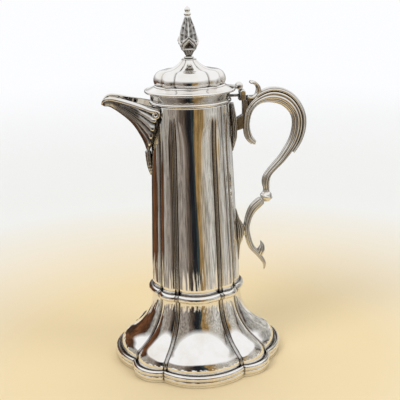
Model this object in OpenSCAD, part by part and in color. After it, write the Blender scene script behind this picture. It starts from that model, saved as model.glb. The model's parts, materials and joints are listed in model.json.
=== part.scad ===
// A tall lidded jug: lobed barrel on a spreading lobed foot, shell spout, scroll handle and hinged lid.
// Millimetres. The origin is the foot's centre on the table, +Z is up and +X is the handle's side.

/* [Foot] */
// Crest radius of the foot's rim
foot_r = 93; // [80:1:105]
// Height of the foot up to the barrel's floor
foot_h = 78; // [70:1:90]
// Height of the flat ring that the jug stands on
base_h = 2.5; // [2:0.5:4]
// Width of that ring at the creases
ring_w = 8; // [5:0.5:12]
// Height of the moulded rim above that ring
rim_h = 10; // [8:0.5:13]
// How far the skirt is set in from the rim
skirt_in = 6.5; // [5.5:0.5:9]
// Radius of the skirt's rounded shoulder above the rim
shoulder_r = 17; // [14:0.5:20]
// Radius of that shoulder along the creases
crease_shoulder_r = 10; // [7:0.5:13]

/* [Barrel] */
// Crest radius of the barrel at its base
barrel_base_r = 48.8; // [44:0.2:54]
// Radius of the barrel at its top
barrel_top_r = 41; // [37:0.2:44]
// Height of the barrel
barrel_h = 203.5; // [180:0.5:230]
// Thickness of the sheet metal
wall = 1.2; // [0.8:0.1:2]
// Thickness of the barrel's floor
floor_t = 1.5; // [1:0.1:2.5]
// Radius of the pouring hole behind the spout
pour_r = 14; // [10:0.5:17]

/* [Lobes] */
// Depth of the creases as a share of the radius
lobe_share = 0.075; // [0.04:0.005:0.1]
// Half the width of the reed in each crease
reed_w = 1.7; // [1:0.1:2.5]
// Height of that reed
reed_h = 0.9; // [0.4:0.1:1.4]
// Length of the pointed arches that close the creases below the neck
arch_h = 46; // [30:1:60]

/* [Collar and neck] */
// How far the collar stands out
collar_out = 3.9; // [2.5:0.1:5.5]
// Height of the collar
collar_h = 8.4; // [6:0.2:11]
// Height of the plain band at the neck
neck_h = 11.3; // [9:0.1:15]
// How far that band stands out from the barrel
neck_step = 0.6; // [0.4:0.1:1.2]
// Thickness of that band
band_t = 2.2; // [1.6:0.1:3]
// Radius of the bead round the band's foot
bead_r = 2; // [1.4:0.1:2.6]

/* [Spout] */
// How far the beak reaches from the neck
spout_reach = 51; // [42:0.5:60]
// Depth of the shell from the neck to its root
spout_drop = 51; // [44:0.5:56]
// Half the width of the shell at the neck
spout_half = 28; // [22:0.5:30]
// Thickness of the cast shell
spout_t = 2; // [1.6:0.1:2.6]
// Height of the shell's ribs
rib_h = 0.9; // [0.4:0.1:1.2]
// Length of the leaf below the shell
leaf_h = 26; // [20:0.5:32]
// Half the thickness of that leaf
leaf_d = 3; // [2.4:0.1:3.6]
// Half the width of that leaf
leaf_half = 4.5; // [3.5:0.1:5.5]

/* [Lid] */
// Radius of the lid's flange
flange_r = 47.6; // [45:0.2:52]
// Height of the flange's moulding
flange_h = 7.4; // [6:0.1:9]
// Crest radius of the dome
dome_r = 37.5; // [34:0.1:38]
// Radius of the dome's rounded side
dome_side_r = 10; // [8:0.5:12]
// Radius of the hollow curve above it
dome_cove_r = 25; // [20:0.5:28]
// Depth of the bezel that drops into the neck
bezel_h = 3.8; // [2.5:0.1:5]
// Thickness of that bezel
bezel_t = 1.3; // [1:0.1:2]
// Gap between the closed lid and the neck
lid_gap = 0.3; // [0.3:0.05:0.6]

/* [Finial] */
// Radius of the dome's mouth under the finial
seat_r = 8; // [7:0.2:9]
// Greatest half-width of the finial
finial_r = 10.2; // [8.5:0.1:11.5]
// Height of the finial's cast body
finial_h = 39.5; // [34:0.5:46]
// Radius of the ball at the finial's tip
tip_r = 2.9; // [2.2:0.1:3.4]
// Radius of the screw that holds it
stud_r = 1.6; // [1.3:0.1:1.8]

/* [Hinge] */
// Distance from the flange's edge to the hinge pin
pin_out = 7; // [6.4:0.1:8]
// Radius of the hinge pin
pin_r = 1.25; // [1:0.05:1.5]
// Radius of the knuckles
knuckle_r = 3.1; // [2.8:0.1:3.4]
// Half the width of the lid's knuckle
knuckle_half = 3.4; // [2.8:0.1:4]
// Half the width of the fork that holds the pin
fork_half = 7.5; // [6.5:0.1:9]
// Running clearance of the pin
pin_fit = 0.05; // [0.02:0.01:0.1]

/* [Handle] */
// How far the handle reaches from the neck
handle_reach = 81.5; // [74:0.5:90]
// Height of its lower end above the barrel's floor
tail_h = 13.8; // [10:0.2:18]
// Half the depth of the handle's strap at the grip
strap_d = 5.6; // [4.6:0.1:6]
// Half the width of that strap
strap_half = 6.5; // [5.5:0.1:7.5]
// Thickness of the leaf along the handle's back
back_t = 4; // [2.5:0.1:5]
// Half the width of the volute and the plate below it
plate_half = 4; // [3:0.1:5]
// Radius of the knop
knop_r = 7; // [6:0.1:8.2]

/* [Sockets] */
// Height of the upper socket
socket_h = 54; // [48:0.5:60]
// Half its depth
socket_d = 3.6; // [3.2:0.1:4]
// Half its width
socket_half = 7.5; // [6:0.1:9]
// Height of the lower socket
low_socket_h = 59; // [50:0.5:66]
// Half its depth
low_socket_d = 5; // [4.4:0.1:5.6]
// Half its width
low_socket_half = 6.5; // [5.5:0.1:7.5]

/* [Hidden] */
$fn = 64;
wide_half = 30;
narrow_half = 15;
wide_steps = 3;
narrow_steps = 2;
reed_max_angle = 5;

// Gap between pieces that are soldered flat on each other, and where they meet at a slant
tiny = 0.02;
seam = 0.1;
// Longer than any piece, for cuts that go right through
far = 2*(foot_r + foot_h + barrel_h);
// How far other cuts run past a face
over = 1;

// Levels
barrel_z = foot_h + floor_t;
neck_z = barrel_z + barrel_h;
rim_z = neck_z + neck_h;
lid_z = rim_z + lid_gap;
dome_z = lid_z + flange_h;
handle_drop = rim_z - foot_h - tail_h;

// Foot's rim and skirt
ring_step = 0.8;
rim_round = 0.45*rim_h;
rim_z1 = base_h + rim_h;
skirt_r = foot_r - skirt_in;
skirt_lap = 4;
waist_z = barrel_z - collar_h/2;
skirt_rise = waist_z - rim_z1;
skirt_steps = 10;

// Neck, bezel and pouring hole
neck_out = barrel_top_r + neck_step;
neck_in = neck_out - band_t;
bezel_out = neck_in - lid_gap;
pour_below = 8;
root_trim = 1;
root_z = neck_z - spout_drop + root_trim;

// Dome
dome_under_a = 30;
side_c = [dome_r - dome_side_r, dome_z + dome_side_r*sin(dome_under_a)];
dome_cove_c = [side_c[0], side_c[1] + dome_side_r + dome_cove_r];
dome_end_a = 360 - acos((seat_r - dome_cove_c[0])/dome_cove_r);
dome_top = dome_cove_c[1] + dome_cove_r*sin(dome_end_a);
dome_lip = 0.6;
dome_base_r = side_c[0] + dome_side_r*cos(dome_under_a);
flange_edge_r = 1.55;
flange_step = 1.6;

// Finial
seat_h = 1.8;
spigot_r = 4.6;
spigot_h = 6;
base_ring_h = 3.4;
finial_z = dome_top + seat_h + base_ring_h;
stud_in = 6.5;
gable_out = 0.93*finial_r;
nut_h = 2.6;
nut_r = 3.4;
washer_h = 1;
washer_r = 5.4;
nut_z = dome_top + dome_lip - spigot_h - washer_h - nut_h;

// Hinge
pin_x = flange_r + pin_out;
pin_below = 3;
pin_z = rim_z - pin_below;
fork_gap = 0.35;
fork_out = 4;
fork_drop = 4.8;
fork_clear = 0.5;
neck_arm_t = 2;
fork_z = pin_z - knuckle_r - fork_drop;
pin_head_r = 2;
pin_head_h = 1.2;
leaf_rise = 5.1;
leaf_back = 7;

// Handle's root
leg_in = 0.4;
leg_x = pin_x - leg_in;
volute_r = 9.6;
volute_t = 3;
volute_out = 9.9;
volute_up = 1.9;
volute_c = [pin_x + volute_out, pin_z + volute_up];
pad_out = 7.3;
pad_x = barrel_top_r + pad_out;
arm_h = 14.5;
arm_rise = 3.5;
lower_pad_out = 5.2;
lower_pad_x = barrel_base_r + lower_pad_out;
lower_pad_h = 11;
lower_pad_half = 4;
knop_neck_r = 3.3;
lower_a = 50;

// Curves

// Points on an arc about c from angle a0 to a1 in n steps
function arc(c, r, a0, a1, n) =
    [for (i = [0:n]) let (a = a0 + (a1 - a0)*i/n) [c[0] + r*cos(a), c[1] + r*sin(a)]];

// A smooth curve through guide points, k steps to a span
function spline_at(a, b, c, d, t) =
    0.5*(2*b + (c - a)*t + (2*a - 5*b + 4*c - d)*t*t + (3*b - a - 3*c + d)*t*t*t);
function spline(g, k) = let (m = len(g) - 1) concat(
    [for (i = [0:m - 1], j = [0:k - 1])
        spline_at(g[max(i - 1, 0)], g[i], g[i + 1], g[min(i + 2, m)], j/k)],
    [g[m]]);

function reversed(list) = [for (i = [len(list) - 1:-1:0]) list[i]];

// Radius of the arc that gives a lobe its crest and creases
function lobe_arc(half, crest, crease) =
    let (c = crease*sin(half), s = crest - crease*cos(half)) (c*c + s*s)/(2*s);

// Radius of one lobe at angle a from its crest
function lobe(a, half, crest, crease) =
    let (rho = lobe_arc(half, crest, crease), d = crest - rho)
    d*cos(a) + sqrt(rho*rho - pow(d*sin(a), 2));

// A closed outline at height z: four wide and four narrow lobes, with a reed between two grooves in each crease.
// A closed share of each lobe stays as high as its crest, so that the creases narrow to nothing towards 1.
groove_share = 0.5;
function lobed_ring(z, crest, depth, reed, closed = 0) = [
    for (q = [0:3], k = [0:1])
        let (half = k == 0 ? wide_half : narrow_half,
            n = k == 0 ? wide_steps : narrow_steps,
            mid = 90*q + 45*k,
            edge = half - min(reed_max_angle, reed_w/crest*180/PI))
        for (i = [-n:n + 1])
            let (a = i > n ? half : edge*i/n,
                flank = lobe(max(abs(a) - closed*half, 0), half, crest, crest - depth),
                r = flank + (i > n ? reed : abs(i) == n ? -groove_share*reed : 0))
            [r*cos(mid + a), r*sin(mid + a), z]];

// Lobed rings along a profile of [radius, height] points
function lobed_rings(profile, reed) =
    [for (p = profile) lobed_ring(p[1], p[0], lobe_share*p[0], reed)];

// The same outline as a flat disc of arcs, without the reeds
module lobed_disc(crest) {
    for (q = [0:3], k = [0:1]) {
        rho = lobe_arc(k == 0 ? wide_half : narrow_half, crest, crest*(1 - lobe_share));
        rotate(90*q + 45*k) translate([crest - rho, 0]) circle(rho);
    }
}

// Skin over rings that all have the same number of points; a closed one joins its last ring to its first
module skin(rings, closed) {
    m = len(rings);
    n = len(rings[0]);
    function id(i, j) = (i % m)*n + j % n;
    sides = [for (i = [0:closed ? m - 1 : m - 2], j = [0:n - 1])
        each [[id(i, j), id(i + 1, j), id(i + 1, j + 1)], [id(i, j), id(i + 1, j + 1), id(i, j + 1)]]];
    end = (m - 1)*n;
    strip = [for (j = [0:floor((n - 3)/2)])
        each concat([[j, j + 1, n - 1 - j]], j + 1 < n - 2 - j ? [[j + 1, n - 2 - j, n - 1 - j]] : [])];
    caps = closed ? [] : concat(strip, [for (f = strip) [end + f[2], end + f[1], end + f[0]]]);
    polyhedron([for (r = rings) each r], concat(sides, caps));
}

// Cross-section of a strap: flat on its back, rounded in front, as shares of half-depth and half-width
strap_section = [[1, 0], [0.8, 0.6], [0.3, 1], [-0.5, 1], [-1, 0.8],
    [-1, -0.8], [-0.5, -1], [0.3, -1], [0.8, -0.6]];
// Cross-section of the leaf on that back: it starts at the strap's back, as shares of thickness and width
back_section = [[0, 0.62], [-0.5, 0.76], [-1, 0.36], [-1, -0.36], [-0.5, -0.76], [0, -0.62]];
oval_section = [for (a = [0:36:324]) [cos(a), sin(a)]];

// Direction of a path at point i, and one point of a section there: d along the path's right, w along Y
function heading(path, i) =
    let (s = path[min(i + 1, len(path) - 1)] - path[max(i - 1, 0)], l = norm([s[0], s[1]])) [s[0]/l, s[1]/l];
function at(path, i, d, w) =
    let (t = heading(path, i)) [path[i][0] + t[1]*d, w, path[i][1] - t[0]*d];

// Sweep of a section along guides of [x, z, half-depth, half-width]
function strap_rings(path, section) =
    [for (i = [0:len(path) - 1]) [for (s = section) at(path, i, s[0]*path[i][2], s[1]*path[i][3])]];
module strap(path, section) skin(strap_rings(path, section), false);

// Flat plate in the XZ plane, centred on Y
module plate(half) rotate([90, 0, 0]) linear_extrude(2*half, center = true) children();

// Round rod along Y through [x, z]
module rod(c, r, half) translate([c[0], 0, c[1]]) rotate([90, 0, 0]) cylinder(2*half, r, r, center = true);

// Foot

module foot_base_ring() color("silver")
    linear_extrude(base_h) difference() {
        lobed_disc(foot_r - ring_step);
        circle(foot_r*(1 - lobe_share) - ring_w);
    }

module foot_rim() {
    inner = skirt_r - skirt_lap;
    profile = concat([[foot_r, base_h]],
        arc([foot_r - rim_round, rim_z1 - rim_round], rim_round, 0, 90, 4),
        [[inner, rim_z1], [inner, base_h]]);
    color("silver") skin(lobed_rings(profile, 0), true);
}

// Radius of the skirt at height z: a shoulder of radius s on the rim, then a hollow curve that touches it and
// ends upright under the collar
function skirt_at(z, s) =
    let (spread = skirt_r - s - barrel_base_r,
        cove = (spread*spread + skirt_rise*skirt_rise - s*s)/(2*(spread + s)),
        join_z = rim_z1 + s*sin(acos((cove - spread)/(cove + s))))
    z > waist_z ? barrel_base_r :
    z > join_z ? barrel_base_r + cove - sqrt(cove*cove - pow(waist_z - z, 2)) :
    skirt_r - s + sqrt(s*s - pow(z - rim_z1, 2));

// Heights of the skirt's rings, closer together on the shoulder
skirt_levels = concat([for (i = [0:skirt_steps]) rim_z1 + skirt_rise*pow(i/skirt_steps, 1.5)], [foot_h]);

// The skirt's outline at height z, moved in and down by the given amount
function skirt_ring(z, in, reed) =
    let (crest = skirt_at(z + in, shoulder_r) - in,
        crease = skirt_at(z + in, crease_shoulder_r)*(1 - lobe_share) - in)
    lobed_ring(z, crest, crest - crease, reed);

module foot_skirt() color("silver")
    skin(concat([for (z = skirt_levels) skirt_ring(z, 0, reed_h)],
        [for (z = reversed(skirt_levels)) skirt_ring(z, wall, 0)]), true);

// Barrel

function barrel_r(z) = barrel_base_r + (barrel_top_r - barrel_base_r)*(z - barrel_z)/barrel_h;

// Levels along the arches, as shares of their length down from the neck
arch_levels = [0, 0.08, 0.2, 0.4, 0.65, 1];
arch_power = 2.2;
reed_fade = 0.25;
function barrel_rings(in, reed) = concat(
    [lobed_ring(barrel_z, barrel_base_r - in, lobe_share*barrel_base_r, reed)],
    [for (f = reversed(arch_levels))
        let (z = neck_z - f*arch_h, r = barrel_r(z))
        lobed_ring(z, r - in, lobe_share*r, reed*min(1, f/reed_fade), pow(1 - f, arch_power))]);

module barrel_core() skin(barrel_rings(-tiny, reed_h), false);

module body_floor() color("silver")
    translate([0, 0, foot_h]) linear_extrude(floor_t) lobed_disc(barrel_base_r - wall/2);

module body_shell() color("silver") difference() {
    skin(concat(barrel_rings(0, reed_h), reversed(barrel_rings(wall, 0))), true);
    translate([0, 0, neck_z - pour_below - pour_r]) rotate([0, -90, 0]) cylinder(far, pour_r, pour_r);
}

// Half-round collar over the joint of barrel and foot
module waist_collar() {
    inner = barrel_base_r + tiny;
    depth = lobe_share*barrel_base_r;
    outer = [for (a = [-90:30:90])
        lobed_ring(barrel_z + collar_h/2*sin(a), inner + collar_out*cos(a), depth, reed_h)];
    color("silver") skin(concat(outer, [lobed_ring(barrel_z, inner, depth, reed_h)]), true);
}

// Neck

module neck_band() color("silver")
    translate([0, 0, neck_z]) difference() {
        cylinder(neck_h, neck_out, neck_out);
        translate([0, 0, -over]) cylinder(neck_h + 2*over, neck_in, neck_in);
    }

module neck_bead() color("silver")
    translate([0, 0, neck_z + bead_r]) rotate_extrude() intersection() {
        translate([neck_out - bead_r/4, 0]) circle(bead_r);
        translate([neck_out, -bead_r]) square([2*bead_r, 2*bead_r]);
    }

// Spout

// Sections from the beak to the root: rim's distance out, half-width and rise, keel's distance out and fall.
// Distances are shares of the reach, widths of the half-width, rises and falls of the drop.
spout_guides = [
    [0.985, 0.03, 0.03, 1, -0.03],
    [0.94, 0.25, 0.13, 0.935, 0.01],
    [0.82, 0.43, 0.19, 0.82, 0.03],
    [0.6, 0.5, 0.16, 0.62, 0.17],
    [0.38, 0.62, 0.11, 0.41, 0.37],
    [0.16, 0.77, 0.06, 0.24, 0.63],
    [-0.02, 0.9, 0.015, 0.14, 0.86],
    [-0.22, 1, -0.01, 0.08, 1]];
spout_steps = 20;
keel_round = 0.8;
thinnest = 0.4;

// One point of a section: e runs from rim to rim, out moves it off the shell's middle line
function spout_point(g, e, out, rib) =
    let (rim = [-neck_out - g[0]*spout_reach, neck_z + g[2]*spout_drop],
        keel = [-neck_out - g[3]*spout_reach, neck_z - g[4]*spout_drop],
        a = 180*e/spout_steps,
        f = pow(sin(a), keel_round),
        v = [(keel[0] - rim[0])*f, cos(a)*g[1]*spout_half, (keel[1] - rim[1])*f],
        k = max(1 + (out + (e % 2)*rib)/norm(v), thinnest))
    [rim[0] + v[0]*k, v[1]*k, rim[1] + v[2]*k];

function spout_loop(g) = concat(
    [for (e = [0:spout_steps]) spout_point(g, e, 0, rib_h)],
    [for (e = [spout_steps:-1:0]) spout_point(g, e, -spout_t, 0)]);

module spout_shell() color("silver") difference() {
    skin([for (g = spout_guides) spout_loop(g)], false);
    barrel_core();
    translate([-far, -far/2, root_z - far]) cube(far);
    cylinder(far, neck_out + tiny, neck_out + tiny);
}

// Leaf that hangs below the shell: shares of its length, thickness (out and half-depth) and width
module spout_leaf() {
    top = root_z - tiny;
    guides = [[0, 1.17, 1, 1], [0.35, 0.85, 1.05, 1], [0.7, 0.45, 0.85, 0.7], [1, 0, 0.35, 0.2]];
    path = [for (g = guides)
        let (z = top - g[0]*leaf_h) [-barrel_r(z) - g[1]*leaf_d, z, g[2]*leaf_d, g[3]*leaf_half]];
    color("silver") difference() {
        strap(spline(path, 2), oval_section);
        barrel_core();
        translate([-far, -far/2, top]) cube(far);
    }
}

// Handle

// A guide at shares of the reach from the neck and of the drop from the neck's rim, with shares of the
// strap's half-depth and half-width
function guide(g) = [neck_out + g[0]*handle_reach, rim_z - g[1]*handle_drop, g[2]*strap_d, g[3]*strap_half];

// The horn, the leg, the arch and the grip down to the knop
upper_guides = [for (g = [
    [0.31, 0.282, 0.48, 0.6], [0.239, 0.249, 0.68, 0.76], [0.217, 0.184, 0.57, 0.77],
    [0.259, 0.108, 0.63, 0.85], [0.375, 0.061, 0.75, 0.92], [0.547, 0.0435, 1.16, 1.04],
    [0.72, 0.065, 1.19, 1.04], [0.845, 0.122, 1.06, 1], [0.882, 0.192, 1.04, 1], [0.831, 0.28, 1, 0.97],
    [0.685, 0.371, 0.8, 0.92], [0.519, 0.444, 0.68, 0.84], [0.463, 0.488, 0.8, 0.8],
    [0.467, 0.535, 0.62, 0.65], [0.467, 0.545, 0.63, 0.62]]) guide(g)];
upper_path = spline(upper_guides, 2);
knop_top = upper_path[len(upper_path) - 1];
knop_z = knop_top[1] - knop_r - seam;

// Plate that ties the leg, the hinge fork and the volute together, with the arm that meets the socket
module root_plate() {
    low = upper_guides[2];
    mid = upper_guides[3];
    high = upper_guides[4];
    web_x = pin_x + 0.4*volute_r;
    web_z = volute_c[1] - 0.57*volute_r;
    arm_z = low[1] - 0.45*arm_h;
    arm_top = arm_z + arm_h + arm_rise;
    plate(plate_half) polygon([[leg_x, low[1]], [leg_x, fork_z], [web_x, fork_z], [web_x, web_z],
        [high[0], web_z], [high[0], high[1]], [mid[0], mid[1]], [low[0], low[1]]]);
    plate(0.9*plate_half) polygon([[pad_x, arm_z], [pad_x, arm_z + arm_h], [leg_x, arm_top],
        [low[0], arm_top], [low[0], arm_z]]);
}

module handle_upper() color("silver") difference() {
    union() {
        root_plate();
        strap(upper_path, strap_section);
    }
    rod(volute_c, volute_r + tiny, far);
}

// Leaf along the arch's back: it follows the strap from the volute and thins out towards its step at the grip
module handle_back() {
    first = 8;
    last = 19;
    rings = [for (i = [first:last])
        let (e = (i - first)/(last - first), t = back_t*min(1, 2 - 1.3*e), p = upper_path[i])
        [for (s = back_section) at(upper_path, i, -p[2] - tiny + s[0]*t, s[1]*p[3])]];
    color("silver") difference() {
        skin(rings, false);
        rod(volute_c, volute_r + tiny, far);
    }
}

// Open scroll beside the hinge: a ring without its side towards the lid, with a round tip
module handle_volute() color("silver") translate([volute_c[0], 0, volute_c[1]]) plate(plate_half) {
    difference() {
        circle(volute_r);
        circle(volute_r - volute_t);
        polygon([[0, 0], [-0.4, -3]*volute_r, [-3, -3]*volute_r, [-3, 3]*volute_r, [-0.1, 3]*volute_r]);
    }
    translate([-0.02*volute_r, volute_r - volute_t/2]) circle(volute_t/2);
}

// Bead at the bend of the two scrolls, with a neck towards each
module handle_knop() color("silver") translate([knop_top[0], 0, knop_z]) {
    rotate([0, lower_a/3, 0]) rotate_extrude() intersection() {
        union() {
            circle(0.9*knop_r);
            translate([0, -0.15*knop_r]) square([knop_r, 0.3*knop_r]);
        }
        translate([0, -knop_r]) square([knop_r, 2*knop_r]);
    }
    cylinder(knop_r, knop_neck_r, knop_neck_r);
    rotate([0, 180 + lower_a, 0]) cylinder(knop_r, knop_neck_r, knop_neck_r);
}

// The lower scroll leaves the knop as a straight cup, touches the lower pad and curls out to its tip.
// The cup's guides are shares of the knop's radius; the others are shares of the way from the pad to the knop.
function leave(g) = let (d = (1 + g[0])*knop_r + seam)
    [knop_top[0] - d*sin(lower_a), knop_z - d*cos(lower_a), g[1]*strap_d, g[2]*strap_half];
function low_guide(g) = [lower_pad_x + g[0]*(knop_top[0] - lower_pad_x), rim_z - g[1]*handle_drop,
    g[2]*strap_d, g[3]*strap_half];
lower_guides = concat(
    [for (g = [[0, 0.8, 0.72], [0.2, 0.88, 0.77], [0.75, 0.92, 0.8]]) leave(g)],
    [for (g = [[0.448, 0.642, 0.88, 0.8], [0.294, 0.674, 0.74, 0.8], [0.19, 0.712, 0.65, 0.78],
        [0.142, 0.765, 0.6, 0.77], [0.304, 0.854, 0.58, 0.77], [0.61, 0.906, 0.5, 0.67],
        [0.889, 0.961, 0.34, 0.45], [0.885, 1, 0.12, 0.2]]) low_guide(g)]);
pad_guide = lower_guides[6];

module lower_scroll() {
    strap(spline(lower_guides, 3), strap_section);
    translate([lower_pad_x, -lower_pad_half, pad_guide[1] - 0.45*lower_pad_h])
        cube([pad_guide[0] - lower_pad_x, 2*lower_pad_half, lower_pad_h]);
}

module handle_lower() color("silver") lower_scroll();

// Leaf bud that rises from the lower scroll's end
module handle_bud() {
    path = [for (g = [[0.66, 0.915, 0.8, 0.55], [0.756, 0.885, 0.79, 0.7], [0.803, 0.863, 0.5, 0.55],
        [0.78, 0.846, 0.26, 0.3], [0.737, 0.833, 0.08, 0.1]]) low_guide(g)];
    color("silver") difference() {
        strap(spline(path, 2), oval_section);
        lower_scroll();
    }
}

// Sockets on the barrel's side, cut flat where the handle meets them
module socket(path, pad) difference() {
    strap(spline(path, 2), oval_section);
    barrel_core();
    translate([pad - tiny, -far/2, 0]) cube(far);
}

// Guides of the sockets: shares of the height, depth (out from the barrel and half-depth) and width
function socket_guide(g, z, depth, half) = [barrel_r(z) + g[1]*depth, z, g[2]*depth, g[3]*half];

module upper_socket() {
    guides = [[0.05, 0.55, 0.67, 0.8], [0.22, 0.78, 0.83, 0.93], [0.48, 1.1, 1, 1], [0.67, 1, 0.9, 0.87],
        [0.85, 0.55, 0.55, 0.47], [1, 0.1, 0.22, 0.1]];
    color("silver") socket([for (g = guides)
        socket_guide(g, neck_z - g[0]*socket_h, socket_d, socket_half)], pad_x);
}

module lower_socket() {
    guides = [[0.42, 0.04, 0.16, 0.12], [0.24, 0.24, 0.48, 0.69], [0.12, 0.52, 0.84, 0.92], [0, 0.68, 1, 1],
        [-0.14, 0.52, 0.84, 0.92], [-0.3, 0.2, 0.44, 0.62], [-0.58, 0.04, 0.16, 0.12]];
    color("silver") socket([for (g = guides)
        socket_guide(g, pad_guide[1] + g[0]*low_socket_h, low_socket_d, low_socket_half)], lower_pad_x);
}

// Hinge

// Fork that holds the pin, on an arm from the neck's band
module hinge_fork() {
    base_x = pin_x - fork_out;
    base_w = 1.9*fork_out;
    base_top = pin_z - knuckle_r - fork_clear;
    slot_half = knuckle_half + fork_gap;
    color("silver") difference() {
        union() {
            plate(fork_half) {
                translate([pin_x, pin_z]) circle(knuckle_r);
                translate([base_x, fork_z]) square([base_w, base_top - fork_z]);
                translate([pin_x - knuckle_r, fork_z]) square([2*knuckle_r, pin_z - fork_z]);
            }
            translate([0, -plate_half, neck_z + 2*bead_r + lid_gap])
                cube([base_x + over, 2*plate_half, neck_arm_t]);
        }
        translate([0, 0, neck_z - over]) cylinder(neck_h + 2*over, neck_out, neck_out);
        translate([0, -slot_half, base_top]) cube([far, 2*slot_half, far]);
        rod([pin_x, pin_z], pin_r, far);
    }
}

module hinge_pin() color("silver") {
    rod([pin_x, pin_z], pin_r, fork_half);
    for (s = [-1, 1]) translate([0, s*(fork_half + pin_head_h/2), 0])
        rod([pin_x, pin_z], pin_head_r, pin_head_h/2);
}

// Side view of the lid's leaf: its knuckle and the tongue that lies on the flange
module leaf_outline() {
    translate([pin_x, pin_z]) circle(knuckle_r);
    polygon([[pin_x - knuckle_r, pin_z], [pin_x + 0.75*knuckle_r, pin_z + 0.66*knuckle_r],
        [flange_r, lid_z + leaf_rise], [flange_r - leaf_back, lid_z + 1.13*leaf_rise],
        [flange_r - leaf_back, lid_z + leaf_rise/2], [flange_r - 1, lid_z]]);
}

module lid_leaf() color("silver") difference() {
    plate(knuckle_half) leaf_outline();
    flange_solid(tiny);
    rod([pin_x, pin_z], pin_r + pin_fit, far);
}

// Ribbed thumb rest across the leaf, small enough to swing clear of the volute's tip
module lid_thumb() {
    pitch = 2.2;
    rib_r = 1.4;
    middle_r = 2.9;
    color("silver") difference() {
        translate([pin_x - 1.1*knuckle_r, 0, pin_z + 2.1*knuckle_r]) rotate([90, 0, 0]) rotate_extrude()
            for (i = [-2:2]) translate([0, i*pitch]) intersection() {
                translate([middle_r - 0.2*abs(i), 0]) circle(rib_r);
                translate([0, -pitch/2]) square([2*middle_r, pitch]);
            }
        plate(far) leaf_outline();
        flange_solid(tiny);
    }
}

// Lid

// Cross-section of the flange: a rolled edge, a rising hollow and a step for the dome
module flange_profile(grow) {
    edge_x = flange_r - flange_edge_r;
    step_z = flange_h - flange_step;
    step_r = dome_base_r + 1 + grow;
    inner = dome_base_r*(1 - lobe_share) - 3;
    polygon(concat([[inner, 0], [edge_x, 0]],
        arc([edge_x, flange_edge_r], flange_edge_r + grow, -90, 90, 8),
        arc([edge_x, step_z], step_z - 2*flange_edge_r - grow, 270, 210, 4),
        [[step_r, step_z + grow], [step_r, flange_h], [inner, flange_h]]));
}

module flange_solid(grow) translate([0, 0, lid_z]) rotate_extrude() flange_profile(grow);

module lid_flange() color("silver") flange_solid(0);

module lid_bezel() color("silver") translate([0, 0, lid_z - bezel_h]) difference() {
    cylinder(bezel_h, bezel_out, bezel_out);
    translate([0, 0, -over]) cylinder(bezel_h + 2*over, bezel_out - bezel_t, bezel_out - bezel_t);
}

// Profile of the dome, moved inwards by the given amount
function dome_profile(in, n) = concat(
    [[dome_base_r - in, dome_z]],
    arc(side_c, dome_side_r - in, 10 - dome_under_a, 75, n),
    arc(dome_cove_c, dome_cove_r + in, 264, dome_end_a, n),
    [[seat_r - in, dome_top + dome_lip]]);

module lid_dome() color("silver")
    skin(concat(lobed_rings(dome_profile(0, 5), 0),
        lobed_rings(reversed(dome_profile(wall, 3)), 0)), true);

// Finial

// Hole for the screw, right through
module stud_hole() translate([0, 0, dome_top - far/2]) cylinder(far, stud_r, stud_r);

// Disc on the dome's mouth, with a spigot that centres it
module finial_seat() color("silver") difference() {
    disc_h = seat_h - dome_lip;
    translate([0, 0, dome_top + dome_lip]) rotate_extrude() {
        square([seat_r - 1, disc_h]);
        translate([seat_r - 1, disc_h/2]) circle(disc_h/2);
        translate([0, -spigot_h]) square([spigot_r, spigot_h]);
    }
    stud_hole();
}

// Turned ring and neck under the finial
module finial_base() color("silver") difference() {
    ring_r = 0.35*base_ring_h;
    translate([0, 0, dome_top + seat_h]) rotate_extrude() {
        square([0.27*finial_r, base_ring_h]);
        square([0.38*finial_r, 2*ring_r]);
        translate([0.38*finial_r, ring_r]) circle(ring_r);
    }
    stud_hole();
}

// Outline of the finial from its waist to its tip, as shares of its half-width and height
finial_outline = [[0.32, 0], [0.62, 0.13], [0.9, 0.25], [1, 0.34], [0.98, 0.4], [0.78, 0.52],
    [0.66, 0.66], [0.46, 0.84], [0.3, 1]];
finial_size = [[finial_r, 0], [0, finial_h]];
module finial_face(grow) polygon(concat(
    [for (p = finial_outline) [grow*p[0], p[1]]*finial_size],
    [for (p = reversed(finial_outline)) [-grow*p[0], p[1]]*finial_size]));

// Gable on each face, and its sunk panel
module gable() polygon([[-0.7, 0.31], [0, 0.52], [0.7, 0.31], [0, 0.16]]*finial_size);
module panel() polygon([[-0.4, 0.27], [0, 0.41], [0.4, 0.27]]*finial_size);

module finial_body() color("silver") difference() {
    sunk = 1;
    translate([0, 0, finial_z]) difference() {
        union() {
            intersection_for (a = [0:45:135]) rotate(a) plate(2*finial_r) finial_face(a % 90 == 0 ? 1 : 1.14);
            for (a = [0, 90]) rotate(a) plate(gable_out) gable();
        }
        for (a = [0:90:270]) rotate(a) translate([0, gable_out + finial_r - sunk, 0]) plate(finial_r) panel();
    }
    translate([0, 0, finial_z - 1]) cylinder(stud_in + 1.5, stud_r, stud_r);
}

// Ring, neck, ball and point at the finial's tip
module finial_knop() color("silver") translate([0, 0, finial_z + finial_h]) rotate_extrude() intersection() {
    ring_r = 0.55*tip_r;
    union() {
        translate([0.72*tip_r, ring_r]) circle(ring_r);
        square([0.69*tip_r, 1.4*tip_r]);
        translate([0, 2*tip_r]) circle(tip_r);
        translate([0, 2*tip_r]) square([0.28*tip_r, 1.25*tip_r]);
    }
    square(4*tip_r);
}

module finial_stud() color("silver") translate([0, 0, nut_z - 2])
    cylinder(finial_z + stud_in - nut_z + 2, stud_r - tiny, stud_r - tiny);

module finial_washer() color("silver") difference() {
    translate([0, 0, nut_z + nut_h]) cylinder(washer_h, washer_r, washer_r);
    stud_hole();
}

module finial_nut() color("silver") difference() {
    translate([0, 0, nut_z]) cylinder(nut_h, nut_r, nut_r, $fn = 6);
    stud_hole();
}

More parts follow.
